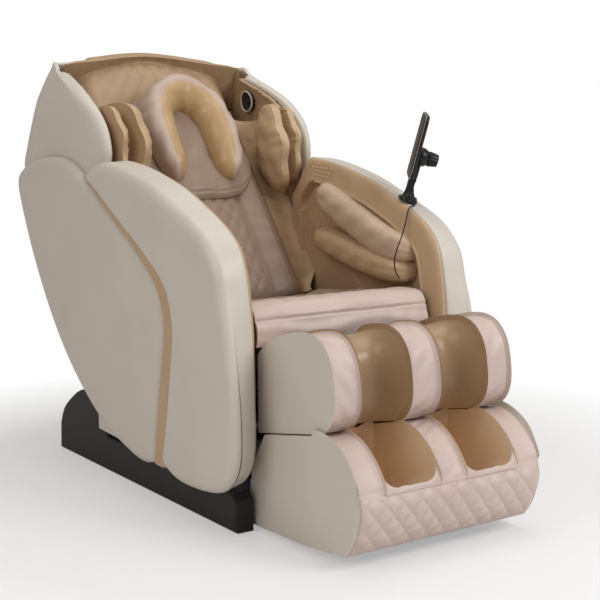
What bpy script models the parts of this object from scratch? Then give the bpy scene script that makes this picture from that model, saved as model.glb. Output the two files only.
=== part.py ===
"""A reclining massage chair, built from its separate pieces.

Metres, +Z up, the floor at z = 0. The sitter faces -Y, so +X is the sitter's left hand.
Side outlines are lists of (y, z) points. Every piece is parented to the empty of the body
that it moves with, and each empty stands on that body's joint axis.
"""
import math

import bmesh
import bpy
import numpy as np
from mathutils import Matrix, Vector

# Clearances
GAP = 0.0003                # between two pieces that touch
RUN = 0.0005                # around a shaft that turns in its hole

# Widths, as half-widths from the chair's middle plane
CHAIR_HALF = 0.385          # outer face of the side panels
PANEL_THICK = 0.0265        # of the rear side panels
PANEL_INNER = CHAIR_HALF - PANEL_THICK
ARM_INNER = 0.287           # inner face of the arms
LINER_THICK = 0.013
BASE_LEDGE = 0.046          # how far the base reaches past the arms' inner faces
BASE_HALF = ARM_INNER + BASE_LEDGE
PLATE_OUTER = ARM_INNER - GAP
PLATE_THICK = 0.0175
CUSHION_HALF = 0.2545
BACK_HALF = 0.220
HOOD_HALF = 0.357
CALF_HALF = 0.265
CALF_WALL = 0.077
CALF_CENTRE_HALF = 0.044
FOOT_HALF = 0.2727
FOOT_WALL = 0.0767
FOOT_CENTRE_HALF = 0.039

# Joints, as (y, z) points on axes along X
SEAT_PIVOT = (0.430, 0.130)
BACK_PIVOT = (0.100, 0.450)
CALF_PIVOT = (-0.392, 0.462)
PIVOT_PIN = 0.012
CALF_PIN = 0.006
HINGE_X = 0.165              # inner face of the seat's calf hinge arms

# The back leans this far from level, and its front face starts at this point
BACK_ANGLE = math.radians(53.0)
BACK_FOOT = (0.115, 0.490)
BACK_LENGTH = 0.660
BACK_CUSHION = 0.050

# The leg runs down along this slope, tilted forward from the vertical
LEG_ANGLE = math.radians(10.6)
SPLIT = 0.2155              # from the calf hinge down to the cut between calf and foot
SPLIT_GAP = 0.003

# Base
BASE_FRONT = -0.372
BASE_REAR = 0.622
RAIL_WIDE = 0.036
RAIL_HIGH = 0.030
COVER_WALL = 0.010
WHEEL_RADIUS = 0.030
WHEEL_WIDE = 0.022
WHEEL_Y = 0.645
WHEEL_X = 0.240

# Seat
SEAT_FRONT = -0.325
SEAT_TOP_FRONT = 0.535
SEAT_FALL = 0.107           # how far the seat falls toward the back, per metre
SEAT_THICK = 0.100
PAN_THICK = 0.006

SIDES = (("right", -1.0), ("left", 1.0))


# ---------------------------------------------------------------- scene and materials

def clear_scene():
    for item in list(bpy.data.objects):
        bpy.data.objects.remove(item, do_unlink=True)


def material(name, colour, roughness, metallic=0.0):
    made = bpy.data.materials.new(name)
    made.use_nodes = True
    shader = made.node_tree.nodes["Principled BSDF"]
    shader.inputs["Base Color"].default_value = (*colour, 1.0)
    shader.inputs["Roughness"].default_value = roughness
    shader.inputs["Metallic"].default_value = metallic
    made.diffuse_color = (*colour, 1.0)
    return made


clear_scene()
CREAM = material("cream leather", (0.66, 0.62, 0.55), 0.42)
TAN = material("tan leather", (0.42, 0.28, 0.16), 0.45)
PINK = material("rose beige leather", (0.62, 0.49, 0.42), 0.48)
BROWN = material("brown rose leather", (0.38, 0.26, 0.20), 0.50)
GOLD = material("golden tan leather", (0.40, 0.25, 0.12), 0.40)
BLACK = material("black plastic", (0.020, 0.020, 0.022), 0.45)
GLOSS = material("gloss black plastic", (0.012, 0.012, 0.014), 0.15)
STEEL = material("painted steel", (0.09, 0.09, 0.10), 0.50, 0.6)
CHROME = material("bright steel", (0.60, 0.60, 0.62), 0.25, 1.0)
RUBBER = material("rubber", (0.03, 0.03, 0.03), 0.80)
CLOTH = material("dust cloth", (0.03, 0.03, 0.03), 0.90)
GREY = material("grey plastic", (0.25, 0.25, 0.26), 0.50)


# ---------------------------------------------------------------- bodies

BODIES = {}


def add_body(name, parent, point):
    """An empty on the body's joint axis; its pieces and child bodies hang from it."""
    empty = bpy.data.objects.new(f"{name}_axis", None)
    bpy.context.scene.collection.objects.link(empty)
    place = Vector(point)
    if parent:
        empty.parent = BODIES[parent][0]
        empty.location = place - BODIES[parent][1]
    else:
        empty.location = place
    BODIES[name] = (empty, place)


def add_piece(name, shape, look, body, smooth_angle=38.0):
    """Make the named object from a bmesh in world coordinates."""
    mesh = bpy.data.meshes.new(name)
    shape.to_mesh(mesh)
    shape.free()
    empty, place = BODIES[body]
    mesh.transform(Matrix.Translation(-place))
    mesh.shade_smooth()
    mesh.set_sharp_from_angle(angle=math.radians(smooth_angle))
    mesh.materials.append(look)
    piece = bpy.data.objects.new(name, mesh)
    bpy.context.scene.collection.objects.link(piece)
    piece.parent = empty
    return piece


# ---------------------------------------------------------------- outlines

def curve(points, count):
    """count evenly spaced points on a smooth curve through the given ones."""
    given = [np.array(p, float) for p in points]
    given = [2 * given[0] - given[1]] + given + [2 * given[-1] - given[-2]]
    dense = []
    for a, b, c, d in zip(given, given[1:], given[2:], given[3:]):
        tb = np.linalg.norm(b - a) ** 0.5
        tc = tb + np.linalg.norm(c - b) ** 0.5
        td = tc + np.linalg.norm(d - c) ** 0.5
        for t in np.linspace(tb, tc, 16, endpoint=False):
            ab = a * (tb - t) / tb + b * t / tb
            bc = b * (tc - t) / (tc - tb) + c * (t - tb) / (tc - tb)
            cd = c * (td - t) / (td - tc) + d * (t - tc) / (td - tc)
            left = ab * (tc - t) / tc + bc * t / tc
            right = bc * (td - t) / (td - tb) + cd * (t - tb) / (td - tb)
            dense.append(left * (tc - t) / (tc - tb) + right * (t - tb) / (tc - tb))
    dense.append(given[-2])
    return even(dense, count)


def even(points, count):
    """count evenly spaced points along straight runs through the given ones."""
    run = np.array(points, float)
    steps = np.linalg.norm(np.diff(run, axis=0), axis=1)
    along = np.concatenate([[0.0], np.cumsum(steps)])
    wanted = np.linspace(0.0, along[-1], count)
    return np.stack([np.interp(wanted, along, run[:, k]) for k in range(run.shape[1])], axis=1)


def normals(points, closed):
    """Unit normals of a (y, z) run, to the left of its direction."""
    run = np.array(points, float)
    if closed:
        ahead = np.roll(run, -1, axis=0)
        behind = np.roll(run, 1, axis=0)
    else:
        ahead = np.vstack([run[1:], run[-1:]])
        behind = np.vstack([run[:1], run[:-1]])
    first = run - behind
    second = ahead - run
    for part in (first, second):
        size = np.linalg.norm(part, axis=1, keepdims=True)
        part /= np.where(size > 1e-9, size, 1.0)
    along = first + second
    along /= np.linalg.norm(along, axis=1, keepdims=True)
    left = np.stack([-along[:, 1], along[:, 0]], axis=1)
    bend = np.clip(np.einsum("ij,ij->i", along, second), 0.5, 1.0)
    return left / bend[:, None]


def inset(points, distance):
    """Move a closed outline inward by distance."""
    run = np.array(points, float)
    nxt = np.roll(run, -1, axis=0)
    area = np.sum(run[:, 0] * nxt[:, 1] - nxt[:, 0] * run[:, 1])
    return run + normals(run, True) * distance * (1.0 if area > 0 else -1.0)


def swell(points, amount):
    """Push an open run to its right by amount, fading to nothing at its two ends."""
    run = np.array(points, float)
    place = np.linspace(-1.0, 1.0, len(run))
    return run - normals(run, False) * (amount * (1 - place ** 4))[:, None]


def ring(points, x):
    return [(x, p[0], p[1]) for p in points]


def back_at(s, d):
    """(y, z) of a point s up along the back's front face and d behind it."""
    return (BACK_FOOT[0] + s * math.cos(BACK_ANGLE) + d * math.sin(BACK_ANGLE),
            BACK_FOOT[1] + s * math.sin(BACK_ANGLE) - d * math.cos(BACK_ANGLE))


def leg_at(a, b):
    """(y, z) of a point a down the leg from the calf hinge and b forward of it."""
    return (CALF_PIVOT[0] - a * math.sin(LEG_ANGLE) - b * math.cos(LEG_ANGLE),
            CALF_PIVOT[1] - a * math.cos(LEG_ANGLE) + b * math.sin(LEG_ANGLE))


# ---------------------------------------------------------------- solids

def loft(rings):
    """Closed body through rings with equal counts, capped at both ends."""
    shape = bmesh.new()
    rows = [[shape.verts.new(p) for p in one] for one in rings]
    count = len(rows[0])
    for low, high in zip(rows, rows[1:]):
        for k in range(count):
            n = (k + 1) % count
            shape.faces.new((low[k], low[n], high[n], high[k]))
    shape.faces.new(rows[0])
    shape.faces.new(rows[-1])
    bmesh.ops.remove_doubles(shape, verts=shape.verts, dist=1e-5)
    bmesh.ops.dissolve_degenerate(shape, dist=1e-6, edges=shape.edges)
    caps = [f for f in shape.faces if len(f.verts) > 4]
    bmesh.ops.triangulate(shape, faces=caps)
    bmesh.ops.recalc_face_normals(shape, faces=shape.faces)
    return shape


def slab(outline, x0, x1, edge0=0.0, edge1=0.0, steps=2):
    """Extrude a side outline from x0 to x1, with its rims rounded by edge0 and edge1."""
    way = 1.0 if x1 > x0 else -1.0
    rings = []
    for k in range(steps if edge0 else 0):
        turn = math.radians(90.0 * k / steps)
        rings.append(ring(inset(outline, edge0 * (1 - math.sin(turn))),
                          x0 + way * edge0 * (1 - math.cos(turn))))
    rings.append(ring(outline, x0 + way * edge0))
    rings.append(ring(outline, x1 - way * edge1))
    for k in reversed(range(steps if edge1 else 0)):
        turn = math.radians(90.0 * k / steps)
        rings.append(ring(inset(outline, edge1 * (1 - math.sin(turn))),
                          x1 - way * edge1 * (1 - math.cos(turn))))
    return loft(rings)


def block(x0, x1, y0, y1, z0, z1):
    return loft([ring([(y0, z0), (y1, z0), (y1, z1), (y0, z1)], x) for x in (x0, x1)])


def rod(start, end, radius, sides=14, end_radius=None):
    """Round bar or cone from start to end."""
    a, b = Vector(start), Vector(end)
    shape = bmesh.new()
    turn = Vector((0, 0, 1)).rotation_difference(b - a).to_matrix().to_4x4()
    bmesh.ops.create_cone(shape, cap_ends=True, segments=sides, radius1=radius,
                          radius2=radius if end_radius is None else end_radius,
                          depth=(b - a).length,
                          matrix=Matrix.Translation((a + b) / 2) @ turn)
    return shape


def turned(start, axis, profile, sides=24):
    """Turned body: profile is (distance along axis, radius) from one end to the other."""
    way = Vector(axis).normalized()
    side = way.orthogonal().normalized()
    other = way.cross(side)
    rings = []
    for along, radius in profile:
        centre = Vector(start) + way * along
        rings.append([centre + side * radius * math.cos(math.tau * k / sides)
                      + other * radius * math.sin(math.tau * k / sides) for k in range(sides)])
    return loft(rings)


def sheet(front, back, flat=False):
    """Closed body between two grids of points with the same rows and columns.

    With flat, only the back grid's rim is used, and one flat face closes it."""
    shape = bmesh.new()
    rows, cols = len(front), len(front[0])
    rim = [(i, 0) for i in range(rows)] + [(rows - 1, j) for j in range(1, cols)]
    rim += [(i, cols - 1) for i in range(rows - 2, -1, -1)] + [(0, j) for j in range(cols - 2, 0, -1)]
    faces = []
    tops = {(i, j): shape.verts.new(front[i][j]) for i in range(rows) for j in range(cols)}
    wanted = rim if flat else list(tops)
    backs = {(i, j): shape.verts.new(back[i][j]) for i, j in wanted}
    for grid in (tops,) if flat else (tops, backs):
        for i in range(rows - 1):
            for j in range(cols - 1):
                shape.faces.new((grid[i, j], grid[i, j + 1], grid[i + 1, j + 1], grid[i + 1, j]))
    for a, b in zip(rim, rim[1:] + rim[:1]):
        shape.faces.new((tops[a], tops[b], backs[b], backs[a]))
    if flat:
        faces.append(shape.faces.new([backs[a] for a in rim]))
        bmesh.ops.triangulate(shape, faces=faces)
    bmesh.ops.remove_doubles(shape, verts=shape.verts, dist=1e-6)
    bmesh.ops.recalc_face_normals(shape, faces=shape.faces)
    return shape


def combine(base, tool, operation):
    """Boolean of two bmeshes; both are used up."""
    holders = []
    for shape in (base, tool):
        mesh = bpy.data.meshes.new("holder")
        shape.to_mesh(mesh)
        shape.free()
        holder = bpy.data.objects.new("holder", mesh)
        bpy.context.scene.collection.objects.link(holder)
        holders.append(holder)
    change = holders[0].modifiers.new("change", "BOOLEAN")
    change.operation = operation
    change.solver = "EXACT"
    change.object = holders[1]
    graph = bpy.context.evaluated_depsgraph_get()
    mesh = bpy.data.meshes.new_from_object(holders[0].evaluated_get(graph))
    result = bmesh.new()
    result.from_mesh(mesh)
    bmesh.ops.remove_doubles(result, verts=result.verts, dist=1e-6)
    for holder in holders:
        bpy.data.objects.remove(holder, do_unlink=True)
    return result


def fuse(first, *others):
    for other in others:
        first = combine(first, other, "UNION")
    return first


def cut(first, *others):
    for other in others:
        first = combine(first, other, "DIFFERENCE")
    return first


def both_sides(make):
    """The same solid made at +X and at -X."""
    return [make(side) for _, side in SIDES]


# ---------------------------------------------------------------- base

def cover_outline():
    flange = curve([(0.300, 0.100), (0.330, 0.135), (0.360, 0.185), (0.400, 0.203), (0.471, 0.205),
                    (0.540, 0.170), (0.597, 0.124), (BASE_REAR - 0.004, 0.078)], 16)
    front = [(BASE_REAR, 0.003), (BASE_FRONT, 0.003), (BASE_FRONT, 0.080), (BASE_FRONT + 0.020, 0.100)]
    return np.vstack([flange, front])


def seat_pivot_cheek(side):
    inner = side * (PLATE_OUTER + 0.002)
    outer = side * (PLATE_OUTER + 0.012)
    y, z = SEAT_PIVOT
    outline = [(y - 0.060, RAIL_HIGH - 0.002), (y + 0.060, RAIL_HIGH - 0.002),
               (y + 0.030, z + 0.022), (y - 0.030, z + 0.022)]
    pin = rod((side * (PLATE_OUTER - PLATE_THICK - 0.002), y, z), (side * (PLATE_OUTER + 0.010), y, z),
              PIVOT_PIN)
    return fuse(slab(outline, inner, outer), pin)


def make_base():
    rail_outer = BASE_HALF - COVER_WALL - 0.0015
    rail_inner = rail_outer - RAIL_WIDE
    parts = both_sides(lambda side: block(side * rail_inner, side * rail_outer,
                                          BASE_FRONT + 0.020, BASE_REAR - 0.020, 0.0, RAIL_HIGH))
    for y, foot in ((-0.300, 0.006), (0.0, 0.0), (0.150, 0.006), (0.540, 0.006)):
        parts.append(block(-rail_inner - 0.01, rail_inner + 0.01, y - 0.020, y + 0.020, foot,
                           RAIL_HIGH - 0.004))
    parts.append(block(-rail_inner - 0.01, rail_inner + 0.01, -0.310, 0.555, 0.012, 0.016))
    parts += both_sides(seat_pivot_cheek)
    parts += both_sides(lambda side: fuse(
        block(side * (WHEEL_X + 0.014), side * (WHEEL_X + 0.022), 0.545, WHEEL_Y + 0.010, 0.008, 0.045),
        rod((side * (WHEEL_X - 0.012), WHEEL_Y, WHEEL_RADIUS + 0.002),
            (side * (WHEEL_X + 0.018), WHEEL_Y, WHEEL_RADIUS + 0.002), 0.006, 16)))
    parts += clevis(0.0, SEAT_LIFT_LOW, RAIL_HIGH - 0.006, pin=True)
    add_piece("base_frame", fuse(*parts), STEEL, "base")

    cover = slab(cover_outline(), -BASE_HALF, BASE_HALF, 0.006, 0.006)
    hollow = slab(inset(cover_outline(), COVER_WALL), -BASE_HALF + COVER_WALL, BASE_HALF - COVER_WALL)
    below = block(-BASE_HALF + COVER_WALL + 0.001, BASE_HALF - COVER_WALL - 0.001,
                  BASE_FRONT + COVER_WALL + 0.001, BASE_REAR - COVER_WALL - 0.002, -0.050, 0.040)
    mouth = BASE_HALF - 0.031
    nose = BASE_HALF - 0.049
    top = block(-mouth, mouth, -0.330, 0.560, 0.045, 0.300)
    nose = block(-nose, nose, BASE_FRONT - 0.010, -0.330, -0.010, 0.150)
    wells = both_sides(lambda side: block(side * (WHEEL_X - 0.016), side * (WHEEL_X + 0.026),
                                          BASE_REAR - 0.060, BASE_REAR + 0.020, -0.010, 0.075))
    socket = block(0.058, 0.112, BASE_REAR - 0.030, BASE_REAR + 0.010, 0.0305, 0.0665)
    add_piece("base_cover", cut(cover, hollow, below, top, nose, *wells, socket), BLACK, "base")

    for name, side in SIDES:
        hub = (side * (WHEEL_X - WHEEL_WIDE / 2), WHEEL_Y, WHEEL_RADIUS + 0.002)
        tyre = turned(hub, (side, 0, 0), [(0, WHEEL_RADIUS - 0.004), (0.004, WHEEL_RADIUS),
                                          (WHEEL_WIDE - 0.004, WHEEL_RADIUS),
                                          (WHEEL_WIDE, WHEEL_RADIUS - 0.004)], 22)
        bore = rod((side * (WHEEL_X - 0.02), hub[1], hub[2]), (side * (WHEEL_X + 0.02), hub[1], hub[2]),
                   0.006 + RUN, 16)
        add_piece(f"transport_wheel_{name}", cut(tyre, bore), RUBBER, f"wheel_{name}")

    box_floor = 0.016 + GAP
    box = slab([(0.250, box_floor), (0.250, 0.062), (0.370, 0.062), (0.370, box_floor)], -0.240, -0.060,
               0.004, 0.004, 1)
    add_piece("control_box", box, GREY, "base")
    pump = fuse(slab([(-0.220, box_floor), (-0.220, 0.050), (-0.090, 0.050), (-0.090, box_floor)],
                     0.080, 0.230, 0.004, 0.004, 1),
                rod((0.100, -0.155, 0.054), (0.210, -0.155, 0.054), 0.030, 20))
    add_piece("air_pump", pump, GREY, "base")

    inlet = fuse(block(0.060, 0.110, BASE_REAR - 0.026, BASE_REAR + 0.002, 0.0325, 0.0645),
                 block(0.054, 0.116, BASE_REAR + GAP, BASE_REAR + 0.003, 0.0265, 0.0705),
                 block(0.0585, 0.1115, BASE_REAR - 0.020, BASE_REAR + 0.001, 0.0310, 0.0660))
    rocker_seat = block(0.089, 0.103, BASE_REAR - 0.006, BASE_REAR + 0.010, 0.0385, 0.0585)
    plug_seat = block(0.065, 0.083, BASE_REAR - 0.016, BASE_REAR + 0.010, 0.0385, 0.0585)
    add_piece("power_inlet", cut(inlet, rocker_seat, plug_seat), BLACK, "base")
    rocker = [(BASE_REAR - 0.002, 0.0400), (BASE_REAR + 0.0060, 0.0405), (BASE_REAR + 0.0040, 0.0485),
              (BASE_REAR + 0.0060, 0.0565), (BASE_REAR - 0.002, 0.0570), (BASE_REAR - 0.0045, 0.0485)]
    add_piece("power_switch", slab(rocker, 0.0893, 0.1027), GLOSS, "switch")


# ---------------------------------------------------------------- linear actuators

TUBE_RADIUS = 0.021
ROD_RADIUS = 0.010
EYE_RADIUS = 0.014
EYE_PIN = 0.006
EYE_HALF = 0.010

SEAT_LIFT_LOW = (0.150, 0.062)
SEAT_LIFT_HIGH = (-0.200, 0.250)
RECLINE_LOW = (-0.180, 0.290)
RECLINE_HIGH = (0.172, 0.345)
LEG_LIFT_LOW = (0.030, 0.215)
LEG_LIFT_HIGH = (-0.400, 0.315)


def clevis(x, point, base_z, pin, half=0.020, base_y=None):
    """Two ears at x around an actuator's eye, from base_z to the point, with or without a pin."""
    y, z = point
    foot_y = y if base_y is None else base_y
    up = 1.0 if z > base_z else -1.0
    outline = [(foot_y - half, base_z), (foot_y + half, base_z), (y + 0.014, z), (y + 0.010, z + up * 0.010),
               (y - 0.010, z + up * 0.010), (y - 0.014, z)]
    ears = [slab(outline, x + s * (EYE_HALF + GAP), x + s * (EYE_HALF + 0.006)) for s in (-1, 1)]
    if pin:
        ears.append(rod((x - EYE_HALF - 0.005, y, z), (x + EYE_HALF + 0.005, y, z), EYE_PIN, 16))
    return ears


def make_actuator(name, x, low, high, tube_part, rod_start):
    """A motor tube hinged at low, and its sliding rod from rod_start along it to an eye at high."""
    a = Vector((x, *low))
    b = Vector((x, *high))
    way = (b - a).normalized()
    span = (b - a).length
    mouth = span * tube_part
    eye = rod((x - EYE_HALF, *low), (x + EYE_HALF, *low), EYE_RADIUS)
    barrel = rod(a + way * 0.008, a + way * mouth, TUBE_RADIUS, 18)
    hole = rod((x - 0.03, *low), (x + 0.03, *low), EYE_PIN + RUN, 16)
    bore = rod(a + way * 0.035, a + way * (mouth + 0.01), ROD_RADIUS + 0.001, 16)
    for s in (-1, 1):
        side_cut = block(x + s * (EYE_HALF - 0.0006), x + s * 0.05, low[0] - 0.022, low[0] + 0.022,
                         low[1] - 0.022, low[1] + 0.022)
        barrel = cut(barrel, side_cut)
    add_piece(f"{name}_tube", cut(fuse(barrel, eye), hole, bore), BLACK, f"{name}_tube")
    shaft = rod(a + way * rod_start, b - way * 0.008, ROD_RADIUS, 16)
    end = rod((x - EYE_HALF, *high), (x + EYE_HALF, *high), EYE_RADIUS)
    hole = rod((x - 0.03, *high), (x + 0.03, *high), EYE_PIN + RUN, 16)
    add_piece(f"{name}_rod", cut(fuse(shaft, end), hole), CHROME, f"{name}_rod")


# ---------------------------------------------------------------- seat

def seat_top(y):
    return SEAT_TOP_FRONT - SEAT_FALL * (y - SEAT_FRONT)


def plate_outline():
    rear = SEAT_PIVOT
    back = BACK_PIVOT
    return [(-0.335, 0.420), (-0.325, 0.462), (-0.150, 0.448), (back[0] - 0.060, 0.440),
            (back[0] - 0.034, back[1] + 0.010), (back[0] - 0.012, back[1] + 0.030),
            (back[0] + 0.014, back[1] + 0.030), (back[0] + 0.034, back[1] + 0.005),
            (0.160, 0.330), (0.240, 0.215), (0.330, 0.172), (rear[0], rear[1] + 0.026),
            (rear[0] + 0.022, rear[1] + 0.014), (rear[0] + 0.026, rear[1] - 0.004),
            (rear[0] + 0.012, rear[1] - 0.023), (0.300, 0.110), (0.150, 0.150), (0.000, 0.200),
            (-0.250, 0.330)]


def seat_plate(side):
    plate = slab(plate_outline(), side * (PLATE_OUTER - PLATE_THICK), side * PLATE_OUTER)
    holes = [rod((side * 0.25, *SEAT_PIVOT), (side * 0.31, *SEAT_PIVOT), PIVOT_PIN + RUN),
             rod((side * 0.25, *BACK_PIVOT), (side * 0.31, *BACK_PIVOT), PIVOT_PIN + RUN)]
    return cut(plate, *holes)


def calf_hinge_arm(side):
    y, z = CALF_PIVOT
    pan_z = seat_top(SEAT_FRONT) - SEAT_THICK
    arm = [(y - 0.0085, z + 0.004), (y - 0.004, z + 0.0092), (y + 0.010, z + 0.0085),
           (SEAT_FRONT - 0.003, pan_z - 0.0035), (SEAT_FRONT + 0.010, pan_z - 0.005),
           (SEAT_FRONT + 0.010, pan_z - 0.020),
           (y + 0.006, z - 0.0095), (y - 0.005, z - 0.0085), (y - 0.0095, z - 0.002)]
    shape = slab(arm, side * HINGE_X, side * (HINGE_X + 0.012))
    return cut(shape, rod((side * 0.150, y, z), (side * 0.190, y, z), CALF_PIN + RUN, 16))


def make_seat():
    inner = PLATE_OUTER - PLATE_THICK
    pan_front = SEAT_FRONT + 0.002
    pan_rear = 0.045
    pan = [(pan_front, seat_top(pan_front) - SEAT_THICK), (pan_rear, seat_top(pan_rear) - SEAT_THICK),
           (pan_rear, seat_top(pan_rear) - SEAT_THICK - PAN_THICK),
           (pan_front, seat_top(pan_front) - SEAT_THICK - PAN_THICK)]
    parts = [slab(pan, -inner - 0.004, inner + 0.004)]
    parts += both_sides(seat_plate)
    parts += both_sides(calf_hinge_arm)
    for y, z in ((0.060, 0.230), (-0.240, 0.354)):
        parts.append(block(-inner - 0.004, inner + 0.004, y - 0.0125, y + 0.0125, z - 0.0125, z + 0.0125))
    under_pan = seat_top(0.0) - SEAT_THICK - PAN_THICK
    apron = block(-inner - 0.004, inner + 0.004, -0.322, -0.318, 0.345, 0.432)
    parts.append(cut(apron, block(0.060, 0.120, -0.330, -0.310, 0.330, 0.400)))
    parts += clevis(0.0, SEAT_LIFT_HIGH, 0.345, pin=False, base_y=-0.238)
    parts += clevis(-0.090, RECLINE_LOW, under_pan + 0.019, pin=True)
    ears = [(LEG_LIFT_LOW[0] - 0.012, LEG_LIFT_LOW[1] + 0.010), (0.056, 0.240), (0.056, 0.220),
            (LEG_LIFT_LOW[0] - 0.002, LEG_LIFT_LOW[1] - 0.014), (LEG_LIFT_LOW[0] - 0.014, LEG_LIFT_LOW[1] - 0.004)]
    for s in (-1, 1):
        parts.append(slab(ears, 0.090 + s * (EYE_HALF + GAP), 0.090 + s * (EYE_HALF + 0.006)))
    parts.append(rod((0.090 - EYE_HALF - 0.005, *LEG_LIFT_LOW), (0.090 + EYE_HALF + 0.005, *LEG_LIFT_LOW),
                     EYE_PIN, 16))
    add_piece("seat_frame", fuse(*parts), STEEL, "seat_unit")

    make_seat_cushion()
    make_seat_flap()


def make_seat_cushion():
    """Crowned pad with raised sides and two sewn channels across it."""
    rows, cols = 13, 13
    rear = 0.083
    front, back = [], []
    for i in range(rows):
        u = i / (rows - 1)
        y = SEAT_FRONT + (rear - SEAT_FRONT) * u
        upper, lower = [], []
        for j in range(cols):
            v = 2 * j / (cols - 1) - 1
            edge = max(abs(2 * u - 1) ** 7, abs(v) ** 9)
            channel = 0.006 * sum(math.exp(-((u - at) / 0.035) ** 2) for at in (0.33, 0.66))
            lift = 0.012 * math.exp(-((abs(v) - 0.80) / 0.16) ** 2)
            draw = 0.004 * math.cos(math.pi * u) ** 2
            x = CUSHION_HALF * v * (1 - draw * (1 - abs(2 * u - 1)))
            low_y = y - 0.028 * u ** 8
            upper.append((x, y - 0.020 * (u > 0.9) * abs(2 * u - 1) ** 9,
                          seat_top(y) + lift - channel * (1 - edge) - 0.026 * edge))
            lower.append((x, low_y, seat_top(min(low_y, 0.045)) - SEAT_THICK + GAP))
        front.append(upper)
        back.append(lower)
    add_piece("seat_cushion", sheet(front, back, flat=True), PINK, "seat_unit", 60)


def make_seat_flap():
    """The apron that hangs over the seat's front edge, with the folds that the sitter's legs press in."""
    path = curve([(SEAT_FRONT + 0.055, 0.5350), (SEAT_FRONT + 0.010, 0.5352), (SEAT_FRONT - 0.018, 0.522),
                  (SEAT_FRONT - 0.030, 0.500), (SEAT_FRONT - 0.033, 0.477)], 6)
    out = -normals(path, False)
    cols = 17
    front, back = [], []
    for i, point in enumerate(path):
        u = i / (len(path) - 1)
        upper, lower = [], []
        for j in range(cols):
            v = 2 * j / (cols - 1) - 1
            fold = 0.0025 * math.sin(9 * v + 3 * u) * (0.3 + u) + 0.0020 * math.sin(23 * v)
            thick = 0.011 + fold - 0.005 * abs(v) ** 12
            x = 0.262 * v
            upper.append((x, point[0] - out[i][0] * -thick, point[1] + out[i][1] * thick))
            lower.append((x, point[0], point[1]))
        front.append(upper)
        back.append(lower)
    add_piece("seat_flap", sheet(front, back), PINK, "seat_unit", 60)


# ---------------------------------------------------------------- arms and side panels

ARM_REAR = 0.300
ARM_SLOPE = (0.212, 0.873)     # where the arm's top turns down to make room for the hood's wing
SKIN_FOOT = (-0.103, 0.110)
INNER_FRONT = [(ARM_REAR, 0.873), (0.240, 0.8735), (0.166, 0.870), (0.041, 0.850), (-0.143, 0.797),
               (-0.333, 0.698), (-0.370, 0.640), (-0.386, 0.570), (-0.396, 0.490), (-0.400, 0.336),
               (-0.402, 0.232), (-0.390, 0.165), (-0.350, 0.122), (-0.250, 0.114), SKIN_FOOT]
OUTER_FRONT = [(0.325, 0.828), (0.270, 0.856), (0.205, 0.866), (-0.010, 0.826), (-0.165, 0.768),
               (-0.299, 0.709), (-0.367, 0.640), (-0.389, 0.568), (-0.412, 0.501), (-0.434, 0.404),
               (-0.452, 0.283), (-0.446, 0.180), (-0.396, 0.117), (-0.300, 0.090), (-0.170, 0.088),
               SKIN_FOOT]
STRIPE_FRONT = [SKIN_FOOT, (-0.133, 0.251), (-0.149, 0.345), (-0.165, 0.449), (-0.163, 0.496),
                (-0.134, 0.567), (-0.044, 0.635), (0.126, 0.729), (0.273, 0.809), (0.325, 0.828)]
LEAF_FRONT = [(-0.048, 0.112), (-0.067, 0.239), (-0.084, 0.334), (-0.104, 0.440), (-0.100, 0.503),
              (-0.062, 0.572), (0.024, 0.638), (0.163, 0.720), (0.335, 0.824)]
LEAF_TOP = [(0.335, 0.824), (0.420, 0.862), (0.516, 0.875), (0.640, 0.866), (0.739, 0.838)]
LEAF_REAR = [(0.739, 0.838), (0.776, 0.812), (0.779, 0.780), (0.716, 0.639), (0.607, 0.471),
             (0.507, 0.353), (0.393, 0.253), (0.239, 0.159), (0.100, 0.115), (0.010, 0.100),
             (-0.048, 0.112)]
FRONT_COUNT = 22
REST_COUNT = 11


def arm_front(x):
    """The arm's top and front edge at half-width x, blended from its inner to its outer side."""
    share = (x - ARM_INNER) / (CHAIR_HALF - ARM_INNER)
    inner = curve(INNER_FRONT, FRONT_COUNT)
    outer = curve(OUTER_FRONT, FRONT_COUNT)
    return inner * (1 - share) + outer * share


def arm_ring(x, shrink=0.0):
    """Outline of the arm box at half-width x: front edge, underside and rear with a sloped top corner."""
    front = arm_front(x)
    front[:, 0] = np.minimum(front[:, 0], ARM_REAR)
    slope = ARM_SLOPE[1] - (front[:, 0] - ARM_SLOPE[0]) * 1.30
    front[:, 1] = np.where(front[:, 0] > ARM_SLOPE[0], np.minimum(front[:, 1], slope), front[:, 1])
    rest = np.vstack([even([front[-1], (ARM_REAR, 0.130)], 6)[1:],
                      even([(ARM_REAR, 0.130), front[0]], REST_COUNT - 3)[1:-1]])
    return inset(np.vstack([front, rest]), shrink)


def skin_ring(x, shrink=0.0):
    """Outline of the outer skin at half-width x, whose rear edge is the stripe."""
    front = arm_front(x)
    front[0] = STRIPE_FRONT[-1]
    return inset(np.vstack([front, curve(STRIPE_FRONT, REST_COUNT + 2)[1:-1]]), shrink)


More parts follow.
